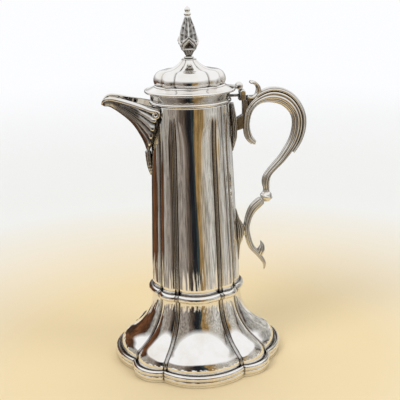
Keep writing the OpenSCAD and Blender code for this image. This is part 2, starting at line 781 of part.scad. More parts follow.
foot_base_ring();
foot_rim();
foot_skirt();
waist_collar();
body_floor();
body_shell();
neck_band();
neck_bead();
spout_shell();
spout_leaf();
upper_socket();
lower_socket();
handle_upper();
handle_back();
handle_volute();
handle_knop();
handle_lower();
handle_bud();
hinge_fork();
hinge_pin();
lid_leaf();
lid_thumb();
lid_flange();
lid_bezel();
lid_dome();
finial_seat();
finial_base();
finial_body();
finial_knop();
finial_stud();
finial_washer();
finial_nut();
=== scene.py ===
"""Looks of the lidded silver jug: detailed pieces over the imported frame, metal finishes, studio and camera.

Shapes are in millimetres in the part's own frame: +Z up, +X towards the handle, the spout along -X.
"""

import json
import math

import bmesh
import bpy
import numpy as np
from mathutils import Matrix, Vector

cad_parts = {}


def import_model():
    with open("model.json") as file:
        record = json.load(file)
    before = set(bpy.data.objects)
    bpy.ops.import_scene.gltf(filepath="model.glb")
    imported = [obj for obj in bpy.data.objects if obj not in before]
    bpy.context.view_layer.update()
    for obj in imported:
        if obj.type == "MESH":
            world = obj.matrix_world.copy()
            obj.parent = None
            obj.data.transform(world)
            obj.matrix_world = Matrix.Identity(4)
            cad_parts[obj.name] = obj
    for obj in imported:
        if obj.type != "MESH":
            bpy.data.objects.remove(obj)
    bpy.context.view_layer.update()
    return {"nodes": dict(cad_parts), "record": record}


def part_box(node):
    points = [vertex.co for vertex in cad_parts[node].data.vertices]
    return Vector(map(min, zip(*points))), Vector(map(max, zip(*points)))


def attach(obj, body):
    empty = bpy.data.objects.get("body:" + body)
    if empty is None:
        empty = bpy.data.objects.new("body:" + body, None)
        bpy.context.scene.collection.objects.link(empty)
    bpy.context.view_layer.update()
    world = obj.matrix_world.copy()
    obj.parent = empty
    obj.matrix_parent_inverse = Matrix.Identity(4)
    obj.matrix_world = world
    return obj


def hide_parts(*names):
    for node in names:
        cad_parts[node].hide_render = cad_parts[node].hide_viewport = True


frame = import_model()

MM = 0.001
TINY = 1e-6


def box_mm(node):
    """Lowest and highest corner of a CAD node, in millimetres."""
    low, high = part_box(node)
    return np.array(low)/MM, np.array(high)/MM


# Sizes from the frame
(_, _, BASE_H), (_, FOOT_R, RIM_TOP) = box_mm("foot_rim")
SKIRT_R, FOOT_H = box_mm("foot_skirt")[1][1:]
(_, _, COLLAR_LOW), (_, COLLAR_R, COLLAR_HIGH) = box_mm("waist_collar")
(_, _, BARREL_Z), (_, BARREL_R, NECK_Z) = box_mm("body_shell")
NECK_R, RIM_Z = box_mm("neck_band")[1][1:]
BEAD_R = np.ptp(box_mm("neck_bead"), 0)[2]/2
(_, _, LID_Z), (_, FLANGE_R, DOME_Z) = box_mm("lid_flange")
DOME_R, DOME_LIP_Z = box_mm("lid_dome")[1][1:]
SEAT_R = box_mm("finial_seat")[1][1]
(_, _, FINIAL_Z), (_, FINIAL_R, FINIAL_TOP) = box_mm("finial_body")
KNOP_TIP_Z = box_mm("finial_knop")[1][2]
PIN_X, _, PIN_Z = np.mean(box_mm("hinge_pin"), 0)
PIN_R = np.ptp(box_mm("hinge_pin"), 0)[2]/2
(_, _, FORK_LOW), (_, FORK_HALF, FORK_TOP) = box_mm("hinge_fork")
(_, _, VOLUTE_LOW), (VOLUTE_X, PLATE_HALF, VOLUTE_TOP) = box_mm("handle_volute")
VOLUTE_R = (VOLUTE_TOP - VOLUTE_LOW)/2
VOLUTE_C = np.array([VOLUTE_X - VOLUTE_R, (VOLUTE_LOW + VOLUTE_TOP)/2])

# Sizes repeated from the part's source
WALL = 1.2
BAND_T = 2.2
NECK_STEP = 0.6
SHOULDER_R = 17
CREASE_SHOULDER_R = 10
LOBE_SHARE = 0.075
REED_W = 1.7
REED_H = 0.9
POUR_R = 14
POUR_BELOW = 8
SPOUT_REACH = 51
SPOUT_DROP = 51
SPOUT_HALF = 28
SPOUT_T = 2
DOME_SIDE_R = 10
DOME_COVE_R = 25
DOME_MOUTH_R = 8
HANDLE_REACH = 81.5
TAIL_H = 13.8
STRAP_D = 5.6
STRAP_HALF = 6.5
BACK_T = 4
KNOP_R = 7
PAD_OUT = 7.3
LOWER_PAD_OUT = 5.2

BARREL_TOP_R = NECK_R - NECK_STEP
DOME_FOOT_R = DOME_R - DOME_SIDE_R + DOME_SIDE_R*math.cos(math.radians(30))
HANDLE_DROP = RIM_Z - FOOT_H - TAIL_H


# Curves

def around(count):
    """Angles evenly round a full turn, in radians."""
    return np.linspace(0, 2*math.pi, count, endpoint=False)


def polar(radius, angle):
    """Points in a plane at radii and angles in radians."""
    return np.stack([radius*np.cos(angle), radius*np.sin(angle)], -1)


def arc(centre, radius, start, end, steps):
    """Points on an arc from one angle to another, in degrees."""
    return np.array(centre) + polar(radius, np.radians(np.linspace(start, end, steps + 1)))


def chain(*runs):
    """Several runs of points as one."""
    return np.concatenate(runs)


def places(x, y, z):
    """Points from coordinates, any of which may be one number."""
    return np.stack(np.broadcast_arrays(x, y, z), -1)


def unit(v):
    """Rows of an array at length 1."""
    return v/np.linalg.norm(v, axis=1, keepdims=True)


def spline(guides, steps):
    """Smooth curve through guides, with as many steps in each span."""
    g = np.array(guides, float)
    last = len(g) - 1
    t = (np.arange(steps)/steps)[:, None]
    rows = []
    for i in range(last):
        a, b, c, d = g[max(i - 1, 0)], g[i], g[i + 1], g[min(i + 2, last)]
        rows.append(0.5*(2*b + (c - a)*t + (2*a - 5*b + 4*c - d)*t**2 + (3*b - a - 3*c + d)*t**3))
    return chain(*rows, g[last:])


def held(x):
    """A value held between 0 and 1."""
    return np.clip(x, 0, 1)


def smooth(x):
    """Smooth step from 0 to 1."""
    x = held(x)
    return x*x*(3 - 2*x)


def bump(x, centre, width):
    """Bell curve of height 1."""
    return np.exp(-((x - centre)/width)**2)


# Shapes: each is (points, faces, recess), where recess says how deep a point lies in a groove

# Recess darkens the silver's colour: painted shade, and tarnish in the grooves
def grid_shape(grid, recess, wrap_rows=False):
    """Closed shape over a grid whose columns go round. Its rows go round too, or its two ends are capped."""
    rows, columns = grid.shape[:2]
    index = np.arange(rows*columns).reshape(rows, columns)
    here = index if wrap_rows else index[:-1]
    ahead = np.roll(index, -1, 0) if wrap_rows else index[1:]
    quads = np.stack([here, np.roll(here, -1, 1), np.roll(ahead, -1, 1), ahead], -1).reshape(-1, 4)
    points = grid.reshape(-1, 3)
    depth = np.broadcast_to(recess, (rows, columns)).reshape(-1)
    faces = quads.tolist()
    if not wrap_rows:
        for row, sense in ((0, 1), (rows - 1, -1)):
            centre = len(points)
            points = np.vstack([points, grid[row].mean(0)])
            depth = np.append(depth, depth[row*columns])
            ring = index[row][::sense]
            faces += [[centre, b, a] for a, b in zip(ring, np.roll(ring, -1))]
    return points, faces, depth


def joined(*shapes):
    """Several shapes as one."""
    points, faces, recess = [], [], []
    start = 0
    for p, f, r in shapes:
        points.append(p)
        faces += [[i + start for i in face] for face in f]
        recess.append(r)
        start += len(p)
    return chain(*points), faces, chain(*recess)


def lathe(profile, columns=192, recess=0.0):
    """Shape turned about the Z axis from a closed profile of (radius, height) points."""
    profile = np.array(profile, float)
    r, z = profile[:, :1], profile[:, 1:]
    a = around(columns)
    grid = places(r*np.cos(a), r*np.sin(a), z)
    return grid_shape(grid, np.reshape(recess, (-1, 1)), wrap_rows=profile[0, 0] > 0)


def lathe_across(profile, centre, columns, recess=0.0):
    """Shape turned about a line along Y through a place in the XZ plane, from (radius, y) points."""
    points, faces, depth = lathe(profile, columns, recess)
    x, y, z = points.T
    return places(x + centre[0], z, y + centre[1]), faces, depth


def roller(inner, outer, half, soft=0.4):
    """Profile of a roll or a ring with softened edges, for lathe_across."""
    return [(inner, -half), (outer - soft, -half), (outer, soft - half), (outer, half - soft),
            (outer - soft, half), (inner, half)]


def headings(path):
    """Unit direction at each point of a path in the XZ plane."""
    return unit(np.gradient(path[:, :2], axis=0))


def off_path(path, depth, width):
    """Points beside a path in the XZ plane, at a depth across its heading and a width along Y."""
    t = headings(path)
    return places(path[:, :1] + t[:, 1:]*depth, width, path[:, 1:2] - t[:, :1]*depth)


def swept(path, section, recess=0.0):
    """Sweep along guides of (x, z, half-depth, half-width).

    The section is (depth, width) points in shares, one list for the whole path or one for each point of it.
    """
    section = np.broadcast_to(section, (len(path),) + np.shape(section)[-2:])
    return grid_shape(off_path(path, section[..., 0]*path[:, 2:3], section[..., 1]*path[:, 3:4]), recess)


def tube(path, size, columns=14):
    """Round tube along points in space, with a radius at each point."""
    t = unit(np.gradient(path, axis=0))
    u = unit(np.cross(t, (0.0, 1.0, 0.0)))
    v = np.cross(t, u)
    a = around(columns)[None, :, None]
    grid = path[:, None] + size[:, None, None]*(np.cos(a)*u[:, None] + np.sin(a)*v[:, None])
    return grid_shape(grid, 0.0)


def rectangle(x0, x1, z0, z1):
    """Outline of a rectangle for a rounded plate."""
    return [(x0, z0), (x1, z0), (x1, z1), (x0, z1)]


def rounded_plate(outline, half, soft, recess=0.0, middle=0.0):
    """Upright plate about y = middle, with rounded edges, over convex anticlockwise (x, z) points."""
    sharpest, steps = 0.35, 7
    outline = np.array(outline, float)
    ahead = np.roll(outline, -1, 0) - outline
    n = unit(np.stack([ahead[:, 1], -ahead[:, 0]], -1))
    corner = n + np.roll(n, 1, 0)
    corner /= np.maximum(np.einsum("ij,ij->i", corner, n), sharpest)[:, None]
    rows = []
    for a in chain(np.linspace(-90, 0, steps), np.linspace(0, 90, steps)):
        inset = soft*(1 - math.cos(math.radians(a)))
        y = middle + math.copysign(half - soft, a) + soft*math.sin(math.radians(a))
        flat = outline - corner*inset
        rows.append(places(flat[:, 0], y, flat[:, 1]))
    return grid_shape(np.array(rows), recess)


def turned(shape, angle, centre):
    """A shape turned about the Y axis, from upright at the origin to a place in the XZ plane."""
    points, faces, recess = shape
    c, s = math.cos(math.radians(angle)), math.sin(math.radians(angle))
    x, y, z = points.T
    return places(x*c + z*s + centre[0], y, z*c - x*s + centre[1]), faces, recess


# Lobed sections

WIDE_HALF = 30
NARROW_HALF = 15
LOBE_POINTS = (60, 34)
LOBES = [(90*q + 45*k, (WIDE_HALF, NARROW_HALF)[k], LOBE_POINTS[k]) for q in range(4) for k in range(2)]
LEAST_DEPTH = 0.02
LIP_W = 1.0

# Reed, grooves and notch in a crease, with widths in shares of the reed's half-width
REED_MAX_ANGLE = 5
REED_POINTS = 25
REED_EDGE = 1.15
REED_END = 2.2
GROOVE_W = 0.3
NOTCH_W = 0.55
# Where the painted shade and tarnish in a crease ends, and how it fades
SHADE_END = 1.7
SHADE_FADE = 0.6
GROOVE_H = 0.8
# Groove depth at which the painted shade and tarnish in it is full
SHADED_GROOVE_H = 0.5


def lobe_radius(angle, half, crest, crease):
    """Radius at an angle from a lobe's crest: an arc that meets its neighbours at the creases."""
    c = crease*math.sin(math.radians(half))
    s = crest - crease*math.cos(math.radians(half))
    rho = (c*c + s*s)/(2*s)
    d = crest - rho
    a = np.radians(angle)
    return d*np.cos(a) + np.sqrt(np.maximum(rho**2 - (d*np.sin(a))**2, 0))


def lobed_row(crest, depth, z, reed=0.0, groove=0.0, notch=0.0, close=0.0, lip=0.0, lip_at=1.0):
    """Points round a lobed section, and their recess.

    Each crease holds a reed between two grooves, or a notch. A share of each lobe is closed at its crest, so
    that the creases narrow to a point where it nears 1. A lip runs along both sides of each crease.
    """
    crease = crest - max(depth, LEAST_DEPTH)
    width = min(REED_MAX_ANGLE, math.degrees(REED_W/crest))
    t = np.linspace(-REED_END, REED_END, REED_POINTS + 2)[1:-1]
    side = np.abs(t)
    beside = bump(side, REED_EDGE, GROOVE_W)
    cut = bump(side, 0, NOTCH_W)
    relief = reed*np.sqrt(np.maximum(1 - t**2, 0)) - groove*beside - notch*cut
    # Darkness in the crease, grooves and notch: painted shade and tarnish
    shade_and_tarnish = held(0.5*smooth((SHADE_END - side)/SHADE_FADE) + 0.6*beside)
    sunk = shade_and_tarnish*min(1, groove/SHADED_GROOVE_H) + cut*min(1, notch)
    angles, radii, recess = [], [], []
    for mid, half, count in LOBES:
        other = WIDE_HALF + NARROW_HALF - half
        plain = np.linspace(-1, 1, count)*(half - REED_END*width)
        lobe = lobe_radius(np.maximum(np.abs(plain) - close*half, 0), half, crest, crease)
        from_crease = np.radians(half - np.abs(plain))*crest
        away = np.maximum(side, REED_EDGE)*width
        base = [lobe_radius(np.maximum(h - away - close*h, 0), h, crest, crease) for h in (half, other)]
        angles += [mid + plain, mid + half + t*width]
        radii += [lobe + lip*bump(from_crease, lip_at, LIP_W), np.where(t < 0, *base) + relief]
        recess += [np.zeros(count), sunk]
    a = np.radians(chain(*angles))
    r = chain(*radii)
    return places(r*np.cos(a), r*np.sin(a), z), chain(*recess)


def lobed_shell(outer, inner):
    """Closed shell over lobed rows, given as keyword sets from the outside round to the inside."""
    points, recess = zip(*(lobed_row(**row) for row in outer + inner))
    return grid_shape(np.array(points), np.array(recess), wrap_rows=True)


def plain_rows(profile, **more):
    """Lobed rows along a profile of (radius, height) points, with creases in proportion to the radius."""
    return [dict(crest=r, depth=LOBE_SHARE*r, z=z, **more) for r, z in profile]


# Materials

# Places of the colours among a Mix node's sockets
MIX_A, MIX_B, MIX_RESULT = 6, 7, 2


def nodes_of(name):
    """A new material's node tree with its shader."""
    material = bpy.data.materials.new(name)
    material.use_nodes = True
    tree = material.node_tree
    return material, tree, tree.nodes["Principled BSDF"]


def feed(tree, n, inputs):
    """Give a node's inputs other nodes' outputs, or plain values."""
    for key, value in inputs.items():
        if isinstance(value, bpy.types.NodeSocket):
            tree.links.new(value, n.inputs[key])
        else:
            n.inputs[key].default_value = value


def node(tree, kind, inputs=None, **settings):
    """A new shader node with settings and inputs."""
    n = tree.nodes.new("ShaderNode" + kind)
    for key, value in settings.items():
        setattr(n, key, value)
    feed(tree, n, inputs or {})
    return n


def noise(tree, scale, detail=3.0, stretch=(1, 1, 1)):
    """Noise in the part's own space, stretched along an axis where a share is below 1."""
    place = node(tree, "TexCoord")
    mapping = node(tree, "Mapping", {"Vector": place.outputs["Object"], "Scale": stretch})
    inputs = {"Vector": mapping.outputs["Vector"], "Scale": scale, "Detail": detail}
    return node(tree, "TexNoise", inputs).outputs["Fac"]


def spread(tree, value, low, high, to_low=0.0, to_high=1.0):
    """A value mapped from one range to another and held inside it."""
    inputs = {"Value": value, "From Min": low, "From Max": high, "To Min": to_low, "To Max": to_high}
    return node(tree, "MapRange", inputs).outputs["Result"]


def blend(tree, factor, a, b):
    """Mix of two colours."""
    a, b = [(*value, 1) if isinstance(value, tuple) else value for value in (a, b)]
    mix = node(tree, "Mix", {"Factor": factor, MIX_A: a, MIX_B: b}, data_type="RGBA")
    return mix.outputs[MIX_RESULT]


def maths(tree, a, b, operation="MULTIPLY", clamp=True):
    """Two values combined, and held between 0 and 1 unless clamp is off."""
    return node(tree, "Math", {0: a, 1: b}, operation=operation, use_clamp=clamp).outputs[0]


def silver(name, bright, tarnish, dark, rough, recess_gain, hollow, wave):
    """Polished silver plate: cloudy tarnish, recesses darkened with tarnish and painted shade, fine scratches
    and a slightly wavy surface.
    """
    material, tree, shader = nodes_of(name)
    cloud = spread(tree, noise(tree, 55, 5), 0.42, 0.72)
    groove = node(tree, "Attribute", attribute_name="recess").outputs["Fac"]
    # Ambient occlusion darkens the colour in hollows and between parts: painted shade
    shade = node(tree, "AmbientOcclusion", {"Distance": hollow}, samples=4).outputs["AO"]
    shut = spread(tree, shade, 0.75, 0.25)
    # The recess attribute and the occlusion darken the base colour: painted shade, and tarnish in the grooves
    shade_and_tarnish = maths(tree, maths(tree, groove, recess_gain), maths(tree, shut, 0.8), "ADD")
    patchy = maths(tree, shade_and_tarnish, spread(tree, noise(tree, 400, 2), 0.25, 0.6, 0.75, 1.0))
    plate = blend(tree, maths(tree, cloud, 0.55), bright, tarnish)
    scratch = spread(tree, noise(tree, 900, 2, (1, 1, 0.06)), 0.5, 0.75)
    polish = spread(tree, noise(tree, 30, 4), 0.35, 0.7, rough*0.6, rough*1.5)
    worn = maths(tree, polish, maths(tree, scratch, 0.06), "ADD")
    dents = noise(tree, 45, 1, (1, 1, 0.35))
    swell = node(tree, "Bump", {"Height": dents, "Strength": 1.0, "Distance": wave})
    fine = node(tree, "Bump", {"Height": scratch, "Strength": 0.25, "Distance": 0.02*MM,
                               "Normal": swell.outputs["Normal"]})
    feed(tree, shader, {"Metallic": 1.0, "Base Color": blend(tree, patchy, plate, dark),
                        "Roughness": maths(tree, worn, maths(tree, patchy, 0.25), "ADD"),
                        "Normal": fine.outputs["Normal"]})
    return material


def brass():
    """Plain turned brass with fine turning lines and dull patches."""
    clean, dulled = (0.74, 0.52, 0.22), (0.42, 0.26, 0.09)
    material, tree, shader = nodes_of("turned_brass")
    patches = spread(tree, noise(tree, 250, 4), 0.4, 0.7)
    lines = spread(tree, noise(tree, 1500, 2, (0.1, 0.1, 1)), 0.3, 0.7, 0.22, 0.42)
    colour = blend(tree, patches, clean, dulled)
    feed(tree, shader, {"Metallic": 1.0, "Base Color": colour, "Roughness": lines})
    return material


FINISH = {
    "silver_sheet": silver("polished_silver", bright=(0.9, 0.885, 0.86), tarnish=(0.76, 0.7, 0.6),
                           dark=(0.07, 0.05, 0.035), rough=0.055, recess_gain=0.85, hollow=3*MM, wave=0.4*MM),
    "silver_cast": silver("cast_silver", bright=(0.86, 0.84, 0.8), tarnish=(0.66, 0.6, 0.5),
                          dark=(0.03, 0.023, 0.018), rough=0.06, recess_gain=1.0, hollow=5*MM, wave=0.15*MM),
    "brass_fixing": brass()}
BODY_OF = {n: b for b, ns in frame["record"]["behaviour"]["bodies"].items() for n in ns}
SLOT_OF = {s["node"]: s["material_slot"] for s in frame["record"]["subparts"]}


def placed(name, data):
    """A new object in the scene for a mesh, a lamp or a camera."""
    obj = bpy.data.objects.new(name, data)
    bpy.context.scene.collection.objects.link(obj)
    return obj


def smooth_object(name, mesh, material):
    """A new smooth-shaded object for a mesh, in one material."""
    mesh.polygons.foreach_set("use_smooth", np.ones(len(mesh.polygons), bool))
    mesh.materials.append(material)
    return placed(name, mesh)


def piece(name, shape, *replaced):
    """Object for a shape that stands for CAD nodes: it rides with them and takes their finish."""
    points, faces, recess = shape
    mesh = bpy.data.meshes.new(name)
    mesh.from_pydata((points*MM).tolist(), [], faces)
    mesh.attributes.new("recess", "FLOAT", "POINT").data.foreach_set("value", recess.astype(np.float32))
    work = bmesh.new()
    work.from_mesh(mesh)
    bmesh.ops.recalc_face_normals(work, faces=work.faces)
    work.to_mesh(mesh)
    work.free()
    obj = smooth_object(name, mesh, FINISH[SLOT_OF[replaced[0]]])
    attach(obj, BODY_OF[replaced[0]])
    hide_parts(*replaced)
    return obj


# Foot

def skirt_radius(z, shoulder):
    """Skirt's radius at a height: a round shoulder that runs tangent into a long cove up to the collar."""
    rise = COLLAR_LOW - RIM_TOP
    spread_out = SKIRT_R - shoulder - BARREL_R
    cove = (spread_out**2 + rise**2 - shoulder**2)/(2*(spread_out + shoulder))
    join_z = RIM_TOP + shoulder*math.sin(math.acos((cove - spread_out)/(cove + shoulder)))
    if z > COLLAR_LOW:
        return BARREL_R
    if z > join_z:
        return BARREL_R + cove - math.sqrt(cove**2 - (COLLAR_LOW - z)**2)
    return SKIRT_R - shoulder + math.sqrt(shoulder**2 - max(z - RIM_TOP, 0)**2)


def skirt_row(z, inward, **more):
    """One row of the skirt: the lobes' crests have a fuller shoulder than the creases between them."""
    crest = skirt_radius(z + inward, SHOULDER_R) - inward
    crease = skirt_radius(z + inward, CREASE_SHOULDER_R)*(1 - LOBE_SHARE) - inward
    return dict(crest=crest, depth=crest - crease, z=z, **more)


def foot_skirt():
    """Lobed skirt from inside the rim to the barrel's foot, with closer rows near the rim."""
    rows, crowding, tuck, reed_h = 56, 1.6, 2, 1.3*REED_H
    climb = np.linspace(0, 1, rows)**crowding
    levels = chain([RIM_TOP - tuck], RIM_TOP + climb*(COLLAR_LOW - RIM_TOP), [FOOT_H])
    outer = [skirt_row(z, 0, reed=reed_h, groove=GROOVE_H) for z in levels]
    inner = [skirt_row(z, WALL) for z in levels[::-3]]
    piece("foot_skirt_shell", lobed_shell(outer, inner), "foot_skirt")


def foot_rim():
    """Upright wall, a quirk, and a round moulding that falls to the groove at the skirt."""
    wall_top = BASE_H + 4.6
    round_r = (RIM_TOP - wall_top)/2
    round_c = (FOOT_R - round_r, wall_top + round_r)
    inner, groove_z = SKIRT_R - 4, RIM_TOP - 1.6
    soft, wall_r, edge_r = 0.5, FOOT_R - 0.5, FOOT_R - 0.9
    profile = chain(
        [(edge_r, BASE_H), (wall_r, BASE_H + soft), (wall_r, wall_top - soft), (edge_r, wall_top - 0.1),
         (FOOT_R - 1.1, wall_top + 0.3)],
        arc(round_c, round_r, -50, 140, 18),
        [(SKIRT_R + 0.6, groove_z), (inner, groove_z), (inner, BASE_H)])
    piece("foot_rim_moulding", lobed_shell(plain_rows(profile, notch=1.3), []), "foot_rim")


def waist_collar():
    """Half-round collar over the joint, a little undercut at its edges."""
    mid, half = (COLLAR_LOW + COLLAR_HIGH)/2, (COLLAR_HIGH - COLLAR_LOW)/2
    depth, out = LOBE_SHARE*BARREL_R, COLLAR_R - BARREL_R
    a = np.radians(np.linspace(-100, 100, 29))
    profile = np.stack([BARREL_R + out*np.cos(a), mid + half*np.sin(a)], -1)
    rows = [dict(crest=r, depth=depth, z=z, reed=REED_H, groove=0.5) for r, z in profile]
    back = [dict(crest=BARREL_R - 0.6, depth=depth, z=mid)]
    piece("waist_collar_moulding", lobed_shell(rows, back), "waist_collar")


# Barrel, whose arches, lips and reeds begin and fade at distances below the neck
ARCH_TOP = 4
ARCH_LENGTH = 46
ARCH_HALF = 6.2
ARCH_WIDEN = 1.6
ARCH_POINT = 2.2
ARCH_LIP = 0.4
LIP_START = 4
LIP_FADE = 40
REED_TOP = 8
REED_FADE = 12
PLAIN_BELOW = 60
FINE_BELOW = 56


def barrel_radius(z):
    """Barrel's radius over the lobes' crests at a height."""
    return BARREL_R + (BARREL_TOP_R - BARREL_R)*(z - BARREL_Z)/(NECK_Z - BARREL_Z)


def barrel_row(z, inward, reed):
    """One row of the barrel: the creases close to a pointed arch below the neck."""
    below = NECK_Z - z
    share = float(held((below - ARCH_TOP)/ARCH_LENGTH))
    shown = reed*float(smooth((below - REED_TOP)/REED_FADE))
    raised = smooth((below - ARCH_TOP)/LIP_START)*(1 - smooth((below - ARCH_LENGTH)/LIP_FADE))
    r = barrel_radius(z)
    return dict(crest=r - inward, depth=LOBE_SHARE*r, z=z, reed=REED_H*shown, groove=GROOVE_H*shown,
                close=(1 - share)**ARCH_POINT, lip=reed*ARCH_LIP*float(raised),
                lip_at=ARCH_HALF*math.sqrt(min(1, ARCH_WIDEN*share)))


def cut_hole(obj, centre, radius, depth):
    """Cut a round hole along X through one wall of a piece."""
    tool_mesh = bpy.data.meshes.new("hole")
    work = bmesh.new()
    place = Matrix.Translation(Vector(centre)*MM) @ Matrix.Rotation(math.pi/2, 4, "Y")
    bmesh.ops.create_cone(work, cap_ends=True, segments=64, radius1=radius*MM, radius2=radius*MM,
                          depth=depth*MM, matrix=place)
    work.to_mesh(tool_mesh)
    work.free()
    tool = placed("hole", tool_mesh)
    cut = obj.modifiers.new("hole", "BOOLEAN")
    cut.operation, cut.solver, cut.object = "DIFFERENCE", "EXACT", tool
    bpy.context.view_layer.update()
    done = bpy.data.meshes.new_from_object(obj.evaluated_get(bpy.context.evaluated_depsgraph_get()))
    obj.modifiers.clear()
    obj.data = done
    bpy.data.objects.remove(tool)


def barrel():
    """Lobed barrel, with closer rows at its arches and the hole behind the spout."""
    levels = chain(np.linspace(BARREL_Z, NECK_Z - PLAIN_BELOW, 14),
                   np.linspace(NECK_Z - FINE_BELOW, NECK_Z, 40))
    outer = [barrel_row(z, 0, 1) for z in levels]
    inner = [barrel_row(z, WALL, 0) for z in levels[::-3]]
    shell = piece("barrel_shell", lobed_shell(outer, inner), "body_shell")
    cut_hole(shell, (-BARREL_R, 0, NECK_Z - POUR_BELOW - POUR_R), POUR_R, 30)


def neck():
    """Plain band with softened edges, and the bead round its foot."""
    # The band is painted darker all over: shade under the lid's flange
    inner, soft, shade_under_flange = NECK_R - BAND_T, 0.5, 0.4
    band = chain([(inner, NECK_Z), (NECK_R, NECK_Z)], arc((NECK_R - soft, RIM_Z - soft), soft, 0, 90, 4),
                 arc((inner + soft, RIM_Z - soft), soft, 90, 180, 4))
    piece("neck_band_turned", lathe(band, recess=shade_under_flange), "neck_band")
    bead_z = NECK_Z + BEAD_R
    bead = chain(arc((NECK_R - BEAD_R/4, bead_z), BEAD_R, -85, 85, 16), [(NECK_R - 0.5, bead_z)])
    piece("neck_bead_turned", lathe(bead), "neck_bead")


# Spout

# Sections from the beak to the root: rim's distance out, half-width and rise, keel's distance out and fall,
# as shares of the reach, the half-width and the drop
SPOUT_GUIDES = [
    (0.985, 0.03, 0.03, 1, -0.03), (0.94, 0.25, 0.13, 0.935, 0.01), (0.82, 0.43, 0.19, 0.82, 0.03),
    (0.6, 0.5, 0.16, 0.62, 0.17), (0.38, 0.62, 0.11, 0.41, 0.37), (0.16, 0.77, 0.06, 0.24, 0.63),
    (-0.02, 0.9, 0.015, 0.14, 0.86), (-0.22, 1, -0.01, 0.08, 1)]
SPOUT_STEPS = 14
SPOUT_FINGERS = 5.5
SPOUT_COLUMNS = 300
KEEL_ROUND = 0.8
FINGER_START = 0.62
FINGER_END = 0.9
LEAST_SHARE = 0.4
LIP_END = 6.4


def wall_guides(shares, start, height, depth, half, side=1):
    """Guides along the barrel's wall in shares of a height, depth and half-width; side -1 is the spout's."""
    levels = [start + g[0]*height for g in shares]
    return [(side*(barrel_radius(z) + g[1]*depth), z, g[2]*depth, g[3]*half) for z, g in zip(levels, shares)]


def tucked(points):
    """Points inside the barrel moved out to mid-wall, so that nothing shows inside."""
    x, y, z = np.moveaxis(points, -1, 0)
    a = np.degrees(np.arctan2(y, x)) % 90
    wide = (a < WIDE_HALF) | (a > 90 - WIDE_HALF)
    off = np.where(wide, np.minimum(a, 90 - a), np.abs(a - 45))
    crest = barrel_radius(np.clip(z, BARREL_Z, NECK_Z))
    lobes = [lobe_radius(off, half, crest, crest*(1 - LOBE_SHARE)) for half in (WIDE_HALF, NARROW_HALF)]
    limit = np.where(z > NECK_Z, NECK_R, np.where(wide, *lobes)) - WALL/2
    out = points.copy()
    out[..., :2] *= np.maximum(1, limit/np.maximum(np.hypot(x, y), TINY))[..., None]
    return out


def spout_rows(guides, e, outward):
    """Points of the shell: e runs from rim to rim, outward moves them off its middle line."""
    g = guides[:, :, None]
    rim_x, rim_z = -NECK_R - g[:, 0]*SPOUT_REACH, NECK_Z + g[:, 2]*SPOUT_DROP
    keel_x, keel_z = -NECK_R - g[:, 3]*SPOUT_REACH, NECK_Z - g[:, 4]*SPOUT_DROP
    a = math.pi*e[None]
    fall = np.maximum(np.sin(a), 0)**KEEL_ROUND
    v = places((keel_x - rim_x)*fall, np.cos(a)*g[:, 1]*SPOUT_HALF, (keel_z - rim_z)*fall)
    k = np.maximum(1 + outward/np.maximum(np.linalg.norm(v, axis=-1), TINY), LEAST_SHARE)
    return places(rim_x + v[..., 0]*k, v[..., 1]*k, rim_z + v[..., 2]*k)


def spout_lip(guides, side):
    """Rolled edge along one rim of the shell, from the beak to a curl beside the neck."""
    lip_r, curl_r, proud = 2.3, 3.5, 0.6
    edge = spout_rows(guides, np.array([0.5 - 0.485*side]), proud)[:, 0]
    edge = edge[: round(LIP_END*SPOUT_STEPS)]
    turn = np.radians(np.linspace(90, -300, 40))[1:]
    curl = np.linspace(curl_r, 0.4*curl_r, len(turn))
    end = edge[-1]
    coil = places(end[0] + curl*np.cos(turn), end[1] - proud*side, end[2] - curl_r + curl*np.sin(turn))
    size = chain(lip_r*smooth(np.linspace(0.3, 1.6, len(edge))), np.linspace(lip_r, 1, len(turn)))
    return tube(chain(edge, coil), size)


def spout():
    """Shell spout: smooth beak, fine lines over its belly, and fingers with scalloped ends at the barrel."""
    guides = spline(SPOUT_GUIDES, SPOUT_STEPS)
    u = np.linspace(0, 1, len(guides))[:, None]
    e = np.linspace(0, 1, SPOUT_COLUMNS)
    phase = SPOUT_FINGERS*np.sin(math.pi*e)[None]**KEEL_ROUND
    rib = np.abs(np.sin(math.pi*phase))
    line = np.abs(np.sin(2*math.pi*phase))
    belly = smooth((u - 0.3)/0.12)*(1 - smooth((u - FINGER_START)/0.08))
    finger = smooth((u - FINGER_START)/0.1)
    ends = FINGER_END + 0.04*rib
    tips = 1.3*bump(u, ends - 0.05, 0.04)
    drop, sunk = smooth((u - ends)/0.03), 1.6
    raised = 0.5*belly*(line**0.6 - 0.7) + 2.2*finger*(rib**0.7 - 0.75) + tips*rib
    outer = spout_rows(guides, e, np.maximum(raised*(1 - drop) - sunk*drop, -sunk))
    inner = spout_rows(guides, e[::-1], -SPOUT_T - 0.2)
    # Painted shade under the lip and over the belly, and in the grooves between the lines and the fingers
    under_lip = bump(np.minimum(e, 1 - e)[None], 0.1, 0.07)
    painted_shade = (0.16 + 0.6*under_lip)*smooth((u - 0.08)/0.1)*(1 - finger)
    groove = np.maximum(np.maximum(finger*(1 - rib)**1.2, 0.9*belly*(1 - line)**1.5), drop)
    recess = np.hstack([held(1.4*groove + painted_shade), np.zeros_like(inner[..., 0])])
    shell = grid_shape(tucked(np.hstack([outer, inner])), recess)
    lips = [spout_lip(guides, side) for side in (1, -1)]
    piece("spout_shell_cast", joined(shell, *lips), "spout_shell")


